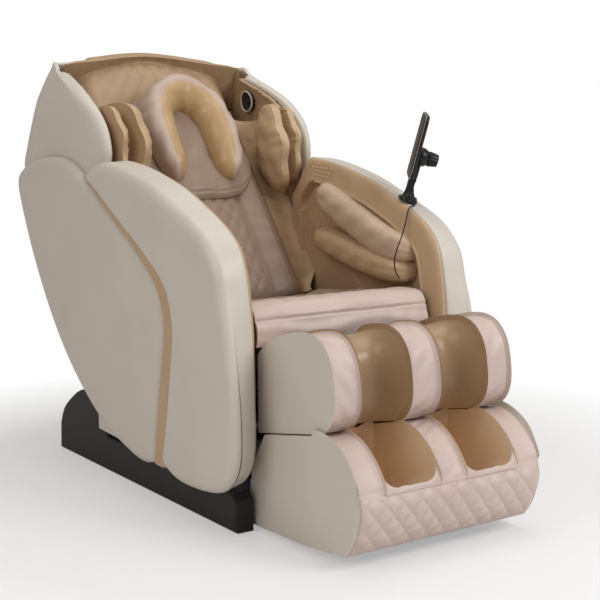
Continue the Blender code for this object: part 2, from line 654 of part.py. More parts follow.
def make_arm(name, side):
    box_inner = ARM_INNER + LINER_THICK + GAP
    step = PANEL_INNER - GAP
    wall = 0.014
    rings = [ring(arm_ring(step - wall, wall), side * (step - wall)),
             ring(arm_ring(box_inner, wall), side * box_inner),
             ring(arm_ring(box_inner, 0.001), side * box_inner),
             ring(arm_ring(step), side * step)]
    xs = (step, CHAIR_HALF - 0.014, CHAIR_HALF - 0.004, CHAIR_HALF)
    skin_rings = [skin_ring(x, rim) for x, rim in zip(xs, (0.0, 0.0, 0.005, 0.016))]
    rings += [ring(one, side * x) for one, x in zip(skin_rings, xs)]
    shell = loft(rings)
    if side > 0:
        shell = cut(shell, stand_socket())
    add_piece(f"arm_shell_{name}", shell, CREAM, "seat_unit", 50)

    stripe = np.vstack([curve(STRIPE_FRONT, REST_COUNT + 2), curve(LEAF_FRONT[::-1], 11)])
    add_piece(f"side_stripe_{name}",
              slab(inset(stripe, 0.0012), side * PANEL_INNER, side * (CHAIR_HALF - 0.004), 0, 0.004, 1),
              TAN, "seat_unit")

    leaf = np.vstack([curve(LEAF_FRONT, 11)[:-1], curve(LEAF_TOP, 6)[:-1], curve(LEAF_REAR, 17)[:-1]])
    add_piece(f"side_panel_{name}",
              slab(inset(leaf, 0.0012), side * PANEL_INNER, side * CHAIR_HALF, 0, 0.012, 2),
              CREAM, "seat_unit", 50)

    liner = inset(arm_ring(ARM_INNER + 0.004), 0.005)[::1]
    add_piece(f"arm_liner_{name}",
              slab(liner, side * (ARM_INNER + LINER_THICK), side * ARM_INNER, 0, 0.004, 1), TAN, "seat_unit")
    make_forearm_pads(name, side)


def pad_on_side(path, half_height, x_back, bulge, side, rows=11, cols=7):
    """A long stuffed pad on an arm's inner face: flat behind, crowned and tapered toward its ends."""
    run = curve(path, rows)
    left = normals(run, False)
    left /= np.linalg.norm(left, axis=1, keepdims=True)
    front, back = [], []
    for i, centre in enumerate(run):
        u = 2 * i / (rows - 1) - 1
        taper = (1 - abs(u) ** 4) ** 0.5 * 0.78 + 0.22
        upper, lower = [], []
        for j in range(cols):
            v = 2 * j / (cols - 1) - 1
            at = centre + left[i] * half_height * taper * math.sin(v * math.pi / 2)
            full = (max(0.0, 1 - abs(v) ** 3.0) * max(0.0, 1 - abs(u) ** 6)) ** 0.5
            upper.append((side * (x_back - 0.010 - bulge * full), at[0], at[1]))
            lower.append((side * x_back, at[0], at[1]))
        front.append(upper)
        back.append(lower)
    return sheet(front, back, flat=True)


def make_forearm_pads(name, side):
    x_back = ARM_INNER - GAP
    upper = pad_on_side([(0.135, 0.795), (0.060, 0.760), (-0.060, 0.700), (-0.170, 0.657), (-0.285, 0.632)],
                        0.034, x_back, 0.058, side)
    add_piece(f"forearm_pad_upper_{name}", upper, PINK, "seat_unit", 60)
    lower = pad_on_side([(0.140, 0.645), (0.050, 0.632), (-0.060, 0.608), (-0.170, 0.588), (-0.280, 0.575)],
                        0.033, x_back, 0.072, side)
    add_piece(f"forearm_pad_lower_{name}", lower, TAN, "seat_unit", 60)


# ---------------------------------------------------------------- controller on its stand

STAND_AT = (0.317, -0.211)
STAND_LIFT = 0.0025
POST_HIGH = 0.022
TABLET_TURN = math.radians(-55.0)   # the way the screen faces, from +Y toward -X
TABLET_LEAN = math.radians(14.0)
TABLET_HIGH = 0.174
TABLET_WIDE = 0.130
TABLET_THICK = 0.012


def arm_top(x, y):
    """Height of the arm's upper edge at half-width x."""
    run = arm_front(x)[:9][::-1]
    return float(np.interp(y, run[:, 0], run[:, 1]))


def stand_foot():
    """Where the stand's disc meets the arm's sloping top."""
    return Vector((*STAND_AT, arm_top(*STAND_AT)))


def arm_normal():
    """Direction square to the arm's top under the stand, which falls forward and outward."""
    x, y = STAND_AT
    across = (arm_top(x + 0.020, y) - arm_top(x - 0.020, y)) / 0.040
    along = (arm_top(x, y + 0.030) - arm_top(x, y - 0.030)) / 0.060
    return Vector((-across, -along, 1.0)).normalized()


def stand_up():
    """Direction of the post, halfway between upright and square to the arm's top."""
    return (arm_normal() + Vector((0, 0, 1))).normalized()


def stand_socket():
    """The hole in the arm that the stand's shoe stands in."""
    base = stand_foot() + stand_up() * STAND_LIFT
    return rod(base + stand_up() * 0.012, base - stand_up() * 0.040, 0.010 + GAP, 16)


def tablet_axes():
    """Screen normal, sideways and upward directions of the tablet."""
    flat = Vector((math.sin(TABLET_TURN), math.cos(TABLET_TURN), 0.0))
    up = Vector((0, 0, 1)) * math.cos(TABLET_LEAN) - flat * math.sin(TABLET_LEAN)
    normal = flat * math.cos(TABLET_LEAN) + Vector((0, 0, 1)) * math.sin(TABLET_LEAN)
    return normal, normal.cross(up).normalized(), up


def oriented_box(centre, axes, sizes, rim=0.0):
    """A box along three axes; rim rounds the corners of its wide face."""
    wide, high, thick = sizes
    normal, sideways, up = axes
    corners = []
    steps = 4 if rim else 1
    for sx, sz in ((1, 1), (-1, 1), (-1, -1), (1, -1)):
        start = {(1, 1): 0, (-1, 1): 90, (-1, -1): 180, (1, -1): 270}[(sx, sz)]
        for k in range(steps):
            turn = math.radians(start + (90.0 * k / (steps - 1) if steps > 1 else 45))
            reach = rim if rim else 0.0
            corners.append((sx * (wide / 2 - reach) + reach * math.cos(turn),
                            sz * (high / 2 - reach) + reach * math.sin(turn)))
    rings = []
    for depth, share in ((-0.5, 0.94), (-0.3, 1.0), (0.42, 1.0), (0.5, 0.975)):
        rings.append([centre + sideways * c[0] * share + up * c[1] * share + normal * thick * depth
                      for c in corners])
    return loft(rings)


def make_stand():
    foot = stand_foot()
    up = stand_up()
    base = foot + up * STAND_LIFT
    rings = []
    for axis, lift, radius in ((arm_normal(), 0.0, 0.0265), (arm_normal(), 0.004, 0.027), (up, 0.010, 0.024),
                               (up, 0.012, 0.0185)):
        side = (Vector((1, 0, 0)) - axis * axis.x).normalized()
        other = axis.cross(side)
        rings.append([base + axis * lift + side * radius * math.cos(math.tau * k / 24)
                      + other * radius * math.sin(math.tau * k / 24) for k in range(24)])
    disc = loft(rings)
    spigot = rod(base + up * 0.008, base + up * 0.024, 0.006, 16)
    shoe = rod(base + up * 0.002, base - up * 0.030, 0.010, 16)
    add_piece("stand_base", fuse(disc, spigot, shoe), GLOSS, "seat_unit")
    return base, up


def tilt_point():
    base = stand_foot() + stand_up() * STAND_LIFT
    return base + stand_up() * (0.0125 + POST_HIGH + 0.013)


def knob_place():
    normal, _, up = tablet_axes()
    return tilt_point() + up * 0.074 - normal * 0.026


def make_controller():
    base, up = make_stand()
    normal, sideways, high = tablet_axes()
    joint = tilt_point()
    post = turned(base + up * (0.012 + GAP), up, [(0, 0.017), (POST_HIGH * 0.6, 0.0125),
                                                  (POST_HIGH, 0.011)], 18)
    hollow = rod(base, base + up * 0.026, 0.006 + RUN, 16)
    ears = [oriented_box(joint - high * 0.004 + sideways * s * 0.0115, (normal, sideways, high),
                         (0.005, 0.026, 0.018)) for s in (-1, 1)]
    pin = rod(joint - sideways * 0.012, joint + sideways * 0.012, 0.003, 12)
    add_piece("stand_post", fuse(cut(post, hollow), *ears, pin), BLACK, "stand_swivel")

    neck_hole = rod(joint - sideways * 0.02, joint + sideways * 0.02, 0.003 + RUN, 12)
    lug = rod(joint - sideways * 0.0085, joint + sideways * 0.0085, 0.0085, 16)
    neck = oriented_box(joint + high * 0.045 - normal * 0.0036, (normal, sideways, high), (0.017, 0.080, 0.018))
    screen_centre = joint + high * (TABLET_HIGH / 2 + 0.014) + normal * 0.008
    case = oriented_box(screen_centre, (normal, sideways, high),
                        (TABLET_WIDE, TABLET_HIGH, TABLET_THICK), 0.020)
    knob_foot = knob_place()
    boss = turned(knob_foot + normal * 0.031, -normal, [(0, 0.026), (0.020, 0.024), (0.0307, 0.019)], 18)
    stem = rod(knob_foot + normal * 0.010, knob_foot - normal * 0.016, 0.004, 12)
    tablet = cut(fuse(case, neck, lug, boss, stem), neck_hole)
    add_piece("tablet", tablet, GLOSS, "tablet_tilt")

    knob = knurled_knob(knob_foot, -normal)
    bore = rod(knob_foot + normal * 0.002, knob_foot - normal * 0.017, 0.004 + RUN, 12)
    add_piece("clamp_knob", cut(knob, bore), BLACK, "knob_turn")
    make_cord(base, up)


def knurled_knob(start, axis):
    """Tapered knob with six finger flutes."""
    way = axis.normalized()
    side = way.orthogonal().normalized()
    other = way.cross(side)
    rings = []
    for along, radius in ((0.0003, 0.019), (0.003, 0.020), (0.024, 0.0165), (0.027, 0.0145)):
        one = []
        for k in range(24):
            turn = math.tau * k / 24
            r = radius * (1 - 0.07 * max(0.0, math.cos(6 * turn)))
            one.append(start + way * along + side * r * math.cos(turn) + other * r * math.sin(turn))
        rings.append(one)
    return loft(rings)


CORD_RADIUS = 0.0018
CORD_OVER_ARM = [(0.3150, -0.2420), (0.3080, -0.2450), (0.2990, -0.2490), (0.2910, -0.2530)]
CORD_HANGING = [(0.2800, -0.2570, 0.7340), (0.2660, -0.2660, 0.7080), (0.2400, -0.2800, 0.6720),
                (0.2120, -0.2960, 0.6420), (0.2010, -0.3010, 0.6130), (0.2080, -0.2970, 0.5890),
                (0.2260, -0.2910, 0.5680)]


def make_cord(base, up):
    """The controller's lead: over the arm's edge and down to the slot beside the seat."""
    over = [(x, y, arm_top(x, y) + CORD_RADIUS - 0.0001) for x, y in CORD_OVER_ARM]
    dense = curve(over + CORD_HANGING, 40)
    data = bpy.data.curves.new("controller_cord", "CURVE")
    data.dimensions = "3D"
    data.bevel_depth = CORD_RADIUS
    data.bevel_resolution = 2
    data.use_fill_caps = True
    line = data.splines.new("POLY")
    line.points.add(len(dense) - 1)
    empty, place = BODIES["seat_unit"]
    for point, at in zip(line.points, dense):
        point.co = (*(Vector(at) - place), 1.0)
    data.materials.append(BLACK)
    piece = bpy.data.objects.new("controller_cord", data)
    bpy.context.scene.collection.objects.link(piece)
    piece.parent = empty


# ---------------------------------------------------------------- back

FRAME_FRONT = BACK_CUSHION + GAP
RAIL_IN = 0.175
RAIL_OUT = 0.198
RAIL_DEEP = 0.075
HOOD_FLOOR = 0.620
HOOD_CORNER = 0.070
SPEAKER_AT = (0.549, 1.036)
SPEAKER_RADIUS = 0.030
HOOD_LOW_ROWS = 3
HOOD_HIGH_ROWS = 8
# Each upright run of the hood as two lists of (y, z), below and above the end of the arm's rear slope
HOOD_REAR = ([(0.700, HOOD_FLOOR), (0.770, 0.705), (0.806, 0.775)],
             [(0.806, 0.775), (0.832, 0.843), (0.803, 0.905), (0.750, 0.980), (0.679, 1.072), (0.640, 1.138)])
HOOD_CREASE = ([(0.350, HOOD_FLOOR), (0.356, 0.700), (0.359, 0.775)],
               [(0.359, 0.775), (0.354, 0.850), (0.350, 0.928), (0.364, 0.980), (0.426, 1.036), (0.498, 1.080),
                (0.575, 1.114)])
HOOD_EDGE = ([(0.328, HOOD_FLOOR), (0.320, 0.700), (0.312, 0.775)],
             [(0.312, 0.775), (0.283, 0.818), (0.268, 0.860), (0.268, 0.905), (0.288, 0.953), (0.326, 0.994),
              (0.386, 1.034), (0.460, 1.070), (0.560, 1.107)])
HOOD_CROWN = ([(0.722, HOOD_FLOOR), (0.793, 0.705), (0.831, 0.775)],
              [(0.831, 0.775), (0.860, 0.850), (0.846, 0.940), (0.812, 1.040), (0.760, 1.120), (0.700, 1.170)])


def hood_run(halves):
    return np.vstack([curve(halves[0], HOOD_LOW_ROWS), curve(halves[1], HOOD_HIGH_ROWS)[1:]])


def hood_columns(inward):
    """Columns of the hood from its crease round the corner to the middle, inward of its outer face.

    Each column is a list of (x, y, z) points from the floor of the hood up to its rim. The upright
    corners are tighter toward the rim, where the wings lean in."""
    rear = hood_run(HOOD_REAR)
    crease = hood_run(HOOD_CREASE)
    crown = hood_run(HOOD_CROWN)
    x = HOOD_HALF - inward
    corners = [HOOD_CORNER - 0.035 * min(1.0, max(0.0, (q[1] - 0.900) / 0.200)) for q in rear]
    columns = [[(x, p[0], p[1]) for p in crease],
               [(x, (p[0] + q[0] - c) / 2, (p[1] + q[1]) / 2) for p, q, c in zip(crease, rear, corners)],
               [(x, q[0] - c, q[1]) for q, c in zip(rear, corners)],
               [(x - 0.293 * c + inward * 0.3, q[0] - 0.293 * c - inward * 0.7, q[1]) for q, c in zip(rear, corners)],
               [(HOOD_HALF - c, q[0] - inward, q[1]) for q, c in zip(rear, corners)]]
    for share, place in ((0.45, 0.19), (0.82, 0.095), (1.0, 0.0)):
        columns.append([(place, q[0] * (1 - share) + c[0] * share - inward,
                         q[1] * (1 - share) + c[1] * share) for q, c in zip(rear, crown)])
    return [[draw_in(p) for p in column] for column in columns]


def draw_in(point):
    x, y, z = point
    return (x * (1 - 0.075 * min(1.0, max(0.0, (z - 1.030) / 0.100)) ** 1.4), y, z)


def mirrored(columns):
    """Add the other half of the columns, sharing the middle one."""
    other = [[(-p[0], p[1], p[2]) for p in column] for column in columns[:-1]]
    return columns + other[::-1]


def make_hood():
    edge = hood_run(HOOD_EDGE)
    rise = [min(1.0, max(0.0, (p[1] - 0.775) / 0.110)) for p in edge]
    nose = [draw_in((HOOD_HALF - 0.010 * k, p[0] - 0.018 * k + 0.010 * (1 - k), p[1] + 0.003 * k))
            for p, k in zip(edge, rise)]
    outer = mirrored([nose] + hood_columns(0.0))
    inside = hood_columns(0.014)
    lip = [draw_in((HOOD_HALF - 0.028, p[0], p[1])) for p in edge]
    inside[0] = [(p[0] - 0.010, min(p[1] + 0.012, (p[1] + q[1]) / 2), p[2]) for p, q in zip(*inside[:2])]
    add_piece("hood_shell", sheet(outer, mirrored([lip] + inside)), CREAM, "backrest", 50)

    lining_out = hood_columns(0.0305)
    lining_in = hood_columns(0.052)
    lining_out[0] = [(p[0] + 0.0024, e[0] + 0.016, e[1]) for p, e in zip(lining_out[0], edge)]
    lining_in[0] = [(p[0], e[0] + 0.024, e[1]) for p, e in zip(lining_in[0], edge)]
    trim = slice(1, HOOD_LOW_ROWS + HOOD_HIGH_ROWS - 1)
    lining = sheet(mirrored([c[trim] for c in lining_out]), mirrored([c[trim] for c in lining_in]))
    holes = both_sides(lambda side: turned((side * (HOOD_HALF - 0.017), *SPEAKER_AT), (-side, 0, 0),
                                           [(0, SPEAKER_RADIUS + GAP), (0.080, SPEAKER_RADIUS + GAP)], 24))
    add_piece("hood_liner", cut(lining, *holes), TAN, "backrest", 50)


def back_block(x0, x1, s0, s1, d0, d1):
    outline = [back_at(s0, d0), back_at(s1, d0), back_at(s1, d1), back_at(s0, d1)]
    return slab(outline, x0, x1)


def pivot_arm(side):
    """Side arm from the recline pin up to the guide rails."""
    y, z = BACK_PIVOT
    arm = [(y - 0.024, z - 0.006), (y - 0.018, z + 0.018), (y + 0.004, z + 0.026), back_at(0.040, FRAME_FRONT),
           back_at(0.120, FRAME_FRONT), back_at(0.120, FRAME_FRONT + 0.050), back_at(-0.010, FRAME_FRONT + 0.050),
           (y + 0.010, z - 0.026), (y - 0.012, z - 0.024)]
    x0 = side * (PLATE_OUTER - PLATE_THICK - GAP - 0.010)
    x1 = side * (PLATE_OUTER - PLATE_THICK - GAP)
    pin = rod(((x0 + x1) / 2, y, z), (side * (PLATE_OUTER - 0.001), y, z), PIVOT_PIN)
    return fuse(slab(arm, x0, x1), pin)


def make_back_frame():
    parts = both_sides(lambda side: back_block(side * RAIL_IN, side * RAIL_OUT, -0.010, 0.760,
                                               FRAME_FRONT, FRAME_FRONT + RAIL_DEEP))
    parts.append(back_block(-0.265, 0.265, 0.080, 0.105, FRAME_FRONT + 0.018, FRAME_FRONT + 0.043))
    parts.append(back_block(-0.180, 0.180, 0.730, 0.755, FRAME_FRONT + 0.045, FRAME_FRONT + RAIL_DEEP - 0.005))
    parts += both_sides(pivot_arm)
    bar_y, bar_z = 0.520, 0.645
    parts.append(block(-HOOD_HALF + 0.0145, HOOD_HALF - 0.0145, bar_y - 0.012, bar_y + 0.012,
                       bar_z - 0.012, bar_z + 0.012))
    strut = [back_at(0.300, FRAME_FRONT + RAIL_DEEP - 0.010), back_at(0.345, FRAME_FRONT + RAIL_DEEP - 0.010),
             (bar_y + 0.004, bar_z + 0.006), (bar_y - 0.004, bar_z - 0.008)]
    parts += both_sides(lambda side: slab(strut, side * (RAIL_IN + 0.003), side * (RAIL_OUT - 0.003)))
    for s in (-1, 1):
        lever = [back_at(0.074, FRAME_FRONT + 0.026), back_at(0.100, FRAME_FRONT + 0.041),
                 (RECLINE_HIGH[0] + 0.012, RECLINE_HIGH[1] - 0.008), (RECLINE_HIGH[0] - 0.010, RECLINE_HIGH[1] - 0.012),
                 (RECLINE_HIGH[0] - 0.014, RECLINE_HIGH[1] + 0.004)]
        parts.append(slab(lever, -0.090 + s * (EYE_HALF + GAP), -0.090 + s * (EYE_HALF + 0.006)))
    rib = [back_at(0.060, FRAME_FRONT + RAIL_DEEP - 0.010), back_at(0.160, FRAME_FRONT + RAIL_DEEP - 0.010),
           (0.430, COVER_LOW[1] + 0.0052 + 0.5817 * 0.130), (0.400, COVER_LOW[1] + 0.0052 + 0.5817 * 0.100)]
    parts += both_sides(lambda side: slab(rib, side * (RAIL_IN + 0.003), side * (RAIL_OUT - 0.003)))
    add_piece("back_frame", fuse(*parts), STEEL, "backrest")
    make_lower_cover()


COVER_LOW = (0.300, 0.384)
COVER_HIGH = (0.698, 0.6155)


def make_lower_cover():
    """Moulded tray behind the massage mechanism, from the hood's lower edge down to the seat."""
    slope = (COVER_HIGH[1] - COVER_LOW[1]) / (COVER_HIGH[0] - COVER_LOW[0])
    run = [COVER_HIGH, (0.500, COVER_LOW[1] + slope * 0.200), COVER_LOW, (0.277, 0.394), (0.266, 0.422)]
    out = normals(run, False)
    inner = [(p[0] + n[0] * -0.004, p[1] + n[1] * -0.004) for p, n in zip(run, out)]
    sides = both_sides(lambda side: slab([inner[0], inner[1], inner[2], inner[3], (0.300, 0.430), (0.660, 0.6155)],
                                         side * 0.258, side * 0.262))
    add_piece("lower_back_cover", fuse(slab(run + inner[::-1], -0.262, 0.262), *sides), BLACK, "backrest")


def make_back_pads():
    rows, cols = 13, 17
    front, back = [], []
    for i in range(rows):
        u = i / (rows - 1)
        s = BACK_LENGTH * u
        upper, lower = [], []
        for j in range(cols):
            v = 2 * j / (cols - 1) - 1
            edge = max(abs(2 * u - 1) ** 14, abs(v) ** 9)
            seam = 0.008 * math.exp(-((abs(v) - 0.52) / 0.05) ** 2)
            belly = 0.007 * math.cos(math.pi * v / 1.04) * (abs(v) < 0.52)
            bolster = 0.010 * math.exp(-((abs(v) - 0.76) / 0.15) ** 2)
            drop = seam + 0.022 * edge - belly - bolster
            y, z = back_at(s, drop)
            x = BACK_HALF * v * (1 - 0.010 * math.sin(math.pi * u))
            upper.append((x, y, z))
            y, z = back_at(s, BACK_CUSHION)
            lower.append((x, y, z))
        front.append(upper)
        back.append(lower)
    add_piece("back_cushion", sheet(front, back, flat=True), BROWN, "backrest", 60)
    make_head_pad()
    make_pillow()


PAD_FOOT = 0.330
PAD_TOP = 0.715
PAD_HALF = 0.176
PAD_BACK = -0.0088


def make_head_pad():
    """Head pad with round lower corners, hung from the top of the back."""
    rows, cols = 10, 11
    front, back = [], []
    for i in range(rows):
        u = i / (rows - 1)
        upper, lower = [], []
        for j in range(cols):
            v = 2 * j / (cols - 1) - 1
            corner = 0.060 * (abs(v) ** 5)
            s = PAD_FOOT + corner * (1 - u) + (PAD_TOP - PAD_FOOT) * u
            half = PAD_HALF * (0.90 + 0.10 * min(1.0, u * 5))
            edge = max(abs(2 * u - 1) ** 10, abs(v) ** 10)
            y, z = back_at(s, PAD_BACK - 0.006 - 0.028 * (1 - edge) - 0.010 * math.cos(math.pi * v / 2) * (1 - edge))
            upper.append((half * v, y, z))
            y, z = back_at(s, PAD_BACK)
            lower.append((half * v, y, z))
        front.append(upper)
        back.append(lower)
    add_piece("head_pad", sheet(front, back, flat=True), BROWN, "backrest", 60)


def make_pillow():
    """Neck pillow: an arch with two hanging legs, stuffed and tapering toward the leg tips."""
    path = curve([(-0.105, 0.375), (-0.122, 0.470), (-0.122, 0.560), (-0.090, 0.640), (0.0, 0.680),
                  (0.090, 0.640), (0.122, 0.560), (0.122, 0.470), (0.105, 0.375)], 19)
    left = normals(path, False)
    left /= np.linalg.norm(left, axis=1, keepdims=True)
    base = PAD_BACK - 0.0445
    rings = []
    for i, (x, s) in enumerate(path):
        u = abs(2 * i / (len(path) - 1) - 1)
        size = 1 - 0.55 * u ** 6
        one = []
        for k in range(10):
            turn = math.tau * k / 10
            across = 0.050 * size * math.cos(turn)
            out = 0.0655 * size * max(0.0, math.sin(turn)) ** 0.8
            y, z = back_at(s + left[i][1] * across, base - out)
            one.append((x + left[i][0] * across, y, z))
        rings.append(one)
    add_piece("neck_pillow", loft(rings), PINK, "backrest", 60)


def make_shoulder_pad(name, side):
    """Two stuffed lobes side by side on the hood's inner wall, joined along their back."""
    x_back = HOOD_HALF - 0.0535
    rows, cols = 9, 13
    run = curve([(0.488, 1.014), (0.422, 0.978), (0.372, 0.930), (0.358, 0.870), (0.380, 0.800),
                 (0.425, 0.745)], rows)
    left = normals(run, False)
    left /= np.linalg.norm(left, axis=1, keepdims=True)
    front, back = [], []
    for i, centre in enumerate(run):
        u = 2 * i / (rows - 1) - 1
        taper = (1 - abs(u) ** 4) ** 0.5 * 0.75 + 0.25
        upper, lower = [], []
        for j in range(cols):
            v = 2 * j / (cols - 1) - 1
            at = centre + left[i] * 0.056 * taper * v
            lobe = abs(math.sin(math.pi * v)) ** 0.6 * max(0.0, 1 - abs(u) ** 6) ** 0.5
            upper.append(draw_in((side * (x_back - 0.010 - 0.052 * lobe), at[0], at[1])))
            lower.append(draw_in((side * x_back, at[0], at[1])))
        front.append(upper)
        back.append(lower)
    add_piece(f"shoulder_pad_{name}", sheet(front, back, flat=True), TAN, "backrest", 60)


def make_speaker(name, side):
    """A round loudspeaker set in a hole in the hood's lining."""
    body = turned((side * (HOOD_HALF - 0.035), *SPEAKER_AT), (-side, 0, 0),
                  [(0, SPEAKER_RADIUS), (0.024, SPEAKER_RADIUS), (0.028, SPEAKER_RADIUS - 0.003),
                   (0.0265, SPEAKER_RADIUS - 0.006), (0.0235, 0.008)], 24)
    add_piece(f"speaker_{name}", body, BLACK, "backrest")


# ---------------------------------------------------------------- massage carriage

CARRIAGE_S = 0.300
CARRIAGE_D = 0.108
ROLLER_RADIUS = 0.023


def make_carriage():
    s = CARRIAGE_S
    half = RAIL_IN - GAP
    plate = back_block(-half, half, s - 0.075, s + 0.075, CARRIAGE_D + 0.012, CARRIAGE_D + 0.017)
    cheeks = [back_block(side * 0.150, side * half, s - 0.070, s + 0.070, CARRIAGE_D - 0.030, CARRIAGE_D + 0.014)
              for side in (-1, 1)]
    motor = rod((-0.060, *back_at(s - 0.035, CARRIAGE_D + 0.040)), (0.050, *back_at(s - 0.035, CARRIAGE_D + 0.040)),
                0.030, 20)
    gear = back_block(0.030, 0.075, s - 0.060, s + 0.020, CARRIAGE_D + 0.014, CARRIAGE_D + 0.060)
    holes = [rod((side * 0.145, *back_at(s, CARRIAGE_D)), (side * 0.180, *back_at(s, CARRIAGE_D)),
                 0.008 + RUN, 16) for side in (-1, 1)]
    shape = cut(fuse(plate, *cheeks, motor, gear), *holes)
    add_piece("massage_carriage", shape, STEEL, "carriage")

    parts = [rod((-0.1740, *back_at(s, CARRIAGE_D)), (0.1740, *back_at(s, CARRIAGE_D)), 0.008, 16)]
    for x in (-0.060, 0.060):
        vee = [back_at(s - 0.060, 0.084), back_at(s - 0.012, CARRIAGE_D + 0.008), back_at(s + 0.012, CARRIAGE_D + 0.008),
               back_at(s + 0.060, 0.084), back_at(s + 0.050, 0.078), back_at(s, CARRIAGE_D - 0.012),
               back_at(s - 0.050, 0.078)]
        parts.append(slab(vee, x - 0.008, x + 0.008))
        for way in (-1, 1):
            at = back_at(s + way * 0.055, 0.084)
            parts.append(turned((x - 0.020, *at), (1, 0, 0), [(0, 0.013), (0.008, ROLLER_RADIUS),
                                                             (0.032, ROLLER_RADIUS), (0.040, 0.013)], 14))
    add_piece("kneading_rollers", fuse(*parts), GREY, "rollers")


# ---------------------------------------------------------------- calf section

def calf_front(start, finish, count):
    """The wall's outline over its top, front and underside, from start to finish."""
    return curve([start, (-0.450, 0.477), (-0.495, 0.490), (-0.540, 0.4985), (-0.580, 0.500), (-0.616, 0.488),
                  (-0.646, 0.455), (-0.662, 0.396), (-0.662, 0.345), (-0.648, 0.316), finish], count)


def puffed_wall(front, rear, x0, x1, edge=0.010, crown=0.007):
    """Padded wall: its front outline swells between the two side seams."""
    rings = []
    for share, amount in ((0.0, -edge), (0.06, -edge * 0.25), (0.25, crown * 0.6), (0.5, crown),
                          (0.75, crown * 0.6), (0.94, -edge * 0.25), (1.0, -edge)):
        rings.append(ring(np.vstack([swell(front, amount), rear]), x0 + (x1 - x0) * share))
    return loft(rings)


def make_calf():
    inner = CALF_HALF - CALF_WALL
    floor = SPLIT - SPLIT_GAP / 2
    rear_y = -0.388
    rear_b = (CALF_PIVOT[0] - rear_y) / math.cos(LEG_ANGLE) - floor * math.tan(LEG_ANGLE)
    finish = leg_at(floor, 0.184)
    low_rear = leg_at(floor, rear_b)
    for name, side in SIDES:
        front = calf_front((rear_y, 0.452), finish, 17)
        rear = np.vstack([even([finish, low_rear], 4)[1:], even([low_rear, (rear_y, 0.452)], 3)[1:-1]])
        wall = puffed_wall(front, rear, side * inner, side * CALF_HALF)
        add_piece(f"calf_wall_{name}", wall, PINK, "calf_section", 50)

    web = 0.060
    top = leg_at(0.004, web + GAP)
    low = leg_at(floor, web + GAP)
    front = calf_front(top, finish, 16)
    front = np.vstack([[top], front[front[:, 0] < top[0] - 0.004]])
    rear = np.vstack([even([finish, low], 3)[1:], even([low, top], 3)[1:-1]])
    wall = puffed_wall(front, rear, -CALF_CENTRE_HALF, CALF_CENTRE_HALF)
    add_piece("calf_wall_centre", wall, PINK, "calf_section", 50)

    add_piece("calf_trough", trough(inner - GAP, web, floor), GOLD, "calf_section", 50)

    plate = slab([leg_at(0.045, 0.022), leg_at(floor - 0.003, 0.022), leg_at(floor - 0.003, 0.030),
                  leg_at(0.045, 0.030)], -inner + GAP, inner - GAP)
    backing = slab([leg_at(0.025, 0.0490), leg_at(floor - 0.004, 0.0490), leg_at(floor - 0.004, web - 0.0083),
                    leg_at(0.025, web - 0.0083)], -inner + GAP, inner - GAP)
    ties = both_sides(lambda side: slab([leg_at(0.045, 0.024), leg_at(floor - 0.004, 0.024),
                                         leg_at(floor - 0.004, 0.050), leg_at(0.045, 0.050)],
                                        side * (BAR_X + BAR_HALF + 0.001), side * (BAR_X + BAR_HALF + 0.013)))
    ties += both_sides(lambda side: slab([leg_at(0.045, 0.024), leg_at(floor - 0.004, 0.024),
                                          leg_at(floor - 0.004, 0.050), leg_at(0.045, 0.050)],
                                         side * (BAR_X - BAR_HALF - 0.013), side * (BAR_X - BAR_HALF - 0.001)))
    arms = both_sides(calf_lug)
    lever_foot = leg_at(0.100, 0.024)
    lever_end = leg_at(0.190, 0.024)
    ears = []
    for s in (-1, 1):
        ear = [lever_foot, (LEG_LIFT_HIGH[0] + 0.002, LEG_LIFT_HIGH[1] + 0.045),
               (LEG_LIFT_HIGH[0] + 0.013, LEG_LIFT_HIGH[1] + 0.006), (LEG_LIFT_HIGH[0] + 0.010, LEG_LIFT_HIGH[1] - 0.010),
               lever_end]
        ears.append(slab(ear, 0.090 + s * (EYE_HALF + GAP), 0.090 + s * (EYE_HALF + 0.006)))
    add_piece("calf_frame", fuse(plate, backing, *ties, *arms, *ears), STEEL, "calf_section")


BAR_X = 0.130
BAR_HALF = 0.009


def calf_lug(side):
    """Ear and pin that hang the calf frame from the seat's hinge arm."""
    y, z = CALF_PIVOT
    outline = [(y - 0.0085, z + 0.004), (y - 0.004, z + 0.0092), (y + 0.006, z + 0.0078), (y + 0.0098, z + 0.001),
               leg_at(0.050, 0.016), leg_at(0.075, 0.023), leg_at(0.048, 0.030), (y - 0.0095, z - 0.002)]
    pin = rod((side * (HINGE_X - 0.010), y, z), (side * (HINGE_X + 0.0115), y, z), CALF_PIN, 16)
    return fuse(slab(outline, side * (HINGE_X - 0.0125), side * (HINGE_X - 0.0005)), pin)


def trough(half, web, floor):
    """Two calf channels side by side, with a flat strip between them for the middle wall."""
    across = [-half, -half * 0.97, -0.168, -0.150, -0.116, -0.082, -0.062, -0.0500, -CALF_CENTRE_HALF - 0.0006,
              -CALF_CENTRE_HALF]
    across = across + [-x for x in across[::-1]]
    rows = 5
    front, back = [], []
    for i in range(rows):
        u = i / (rows - 1)
        a = 0.006 + (floor - 0.006) * u
        upper, lower = [], []
        for x in across:
            w = (abs(x) - CALF_CENTRE_HALF) / (half - CALF_CENTRE_HALF)
            deep = web if w <= 0 else 0.150 - 0.058 * (1 - abs(2 * w - 1) ** 2.6)
            drop = 0.030 * max(0.0, 1 - u * 3) ** 2 * (w > 0)
            upper.append((x, *leg_at(a, deep - drop)))
            lower.append((x, *leg_at(a, web - 0.008)))
        front.append(upper)
        back.append(lower)
    return sheet(front, back)


# ---------------------------------------------------------------- foot section

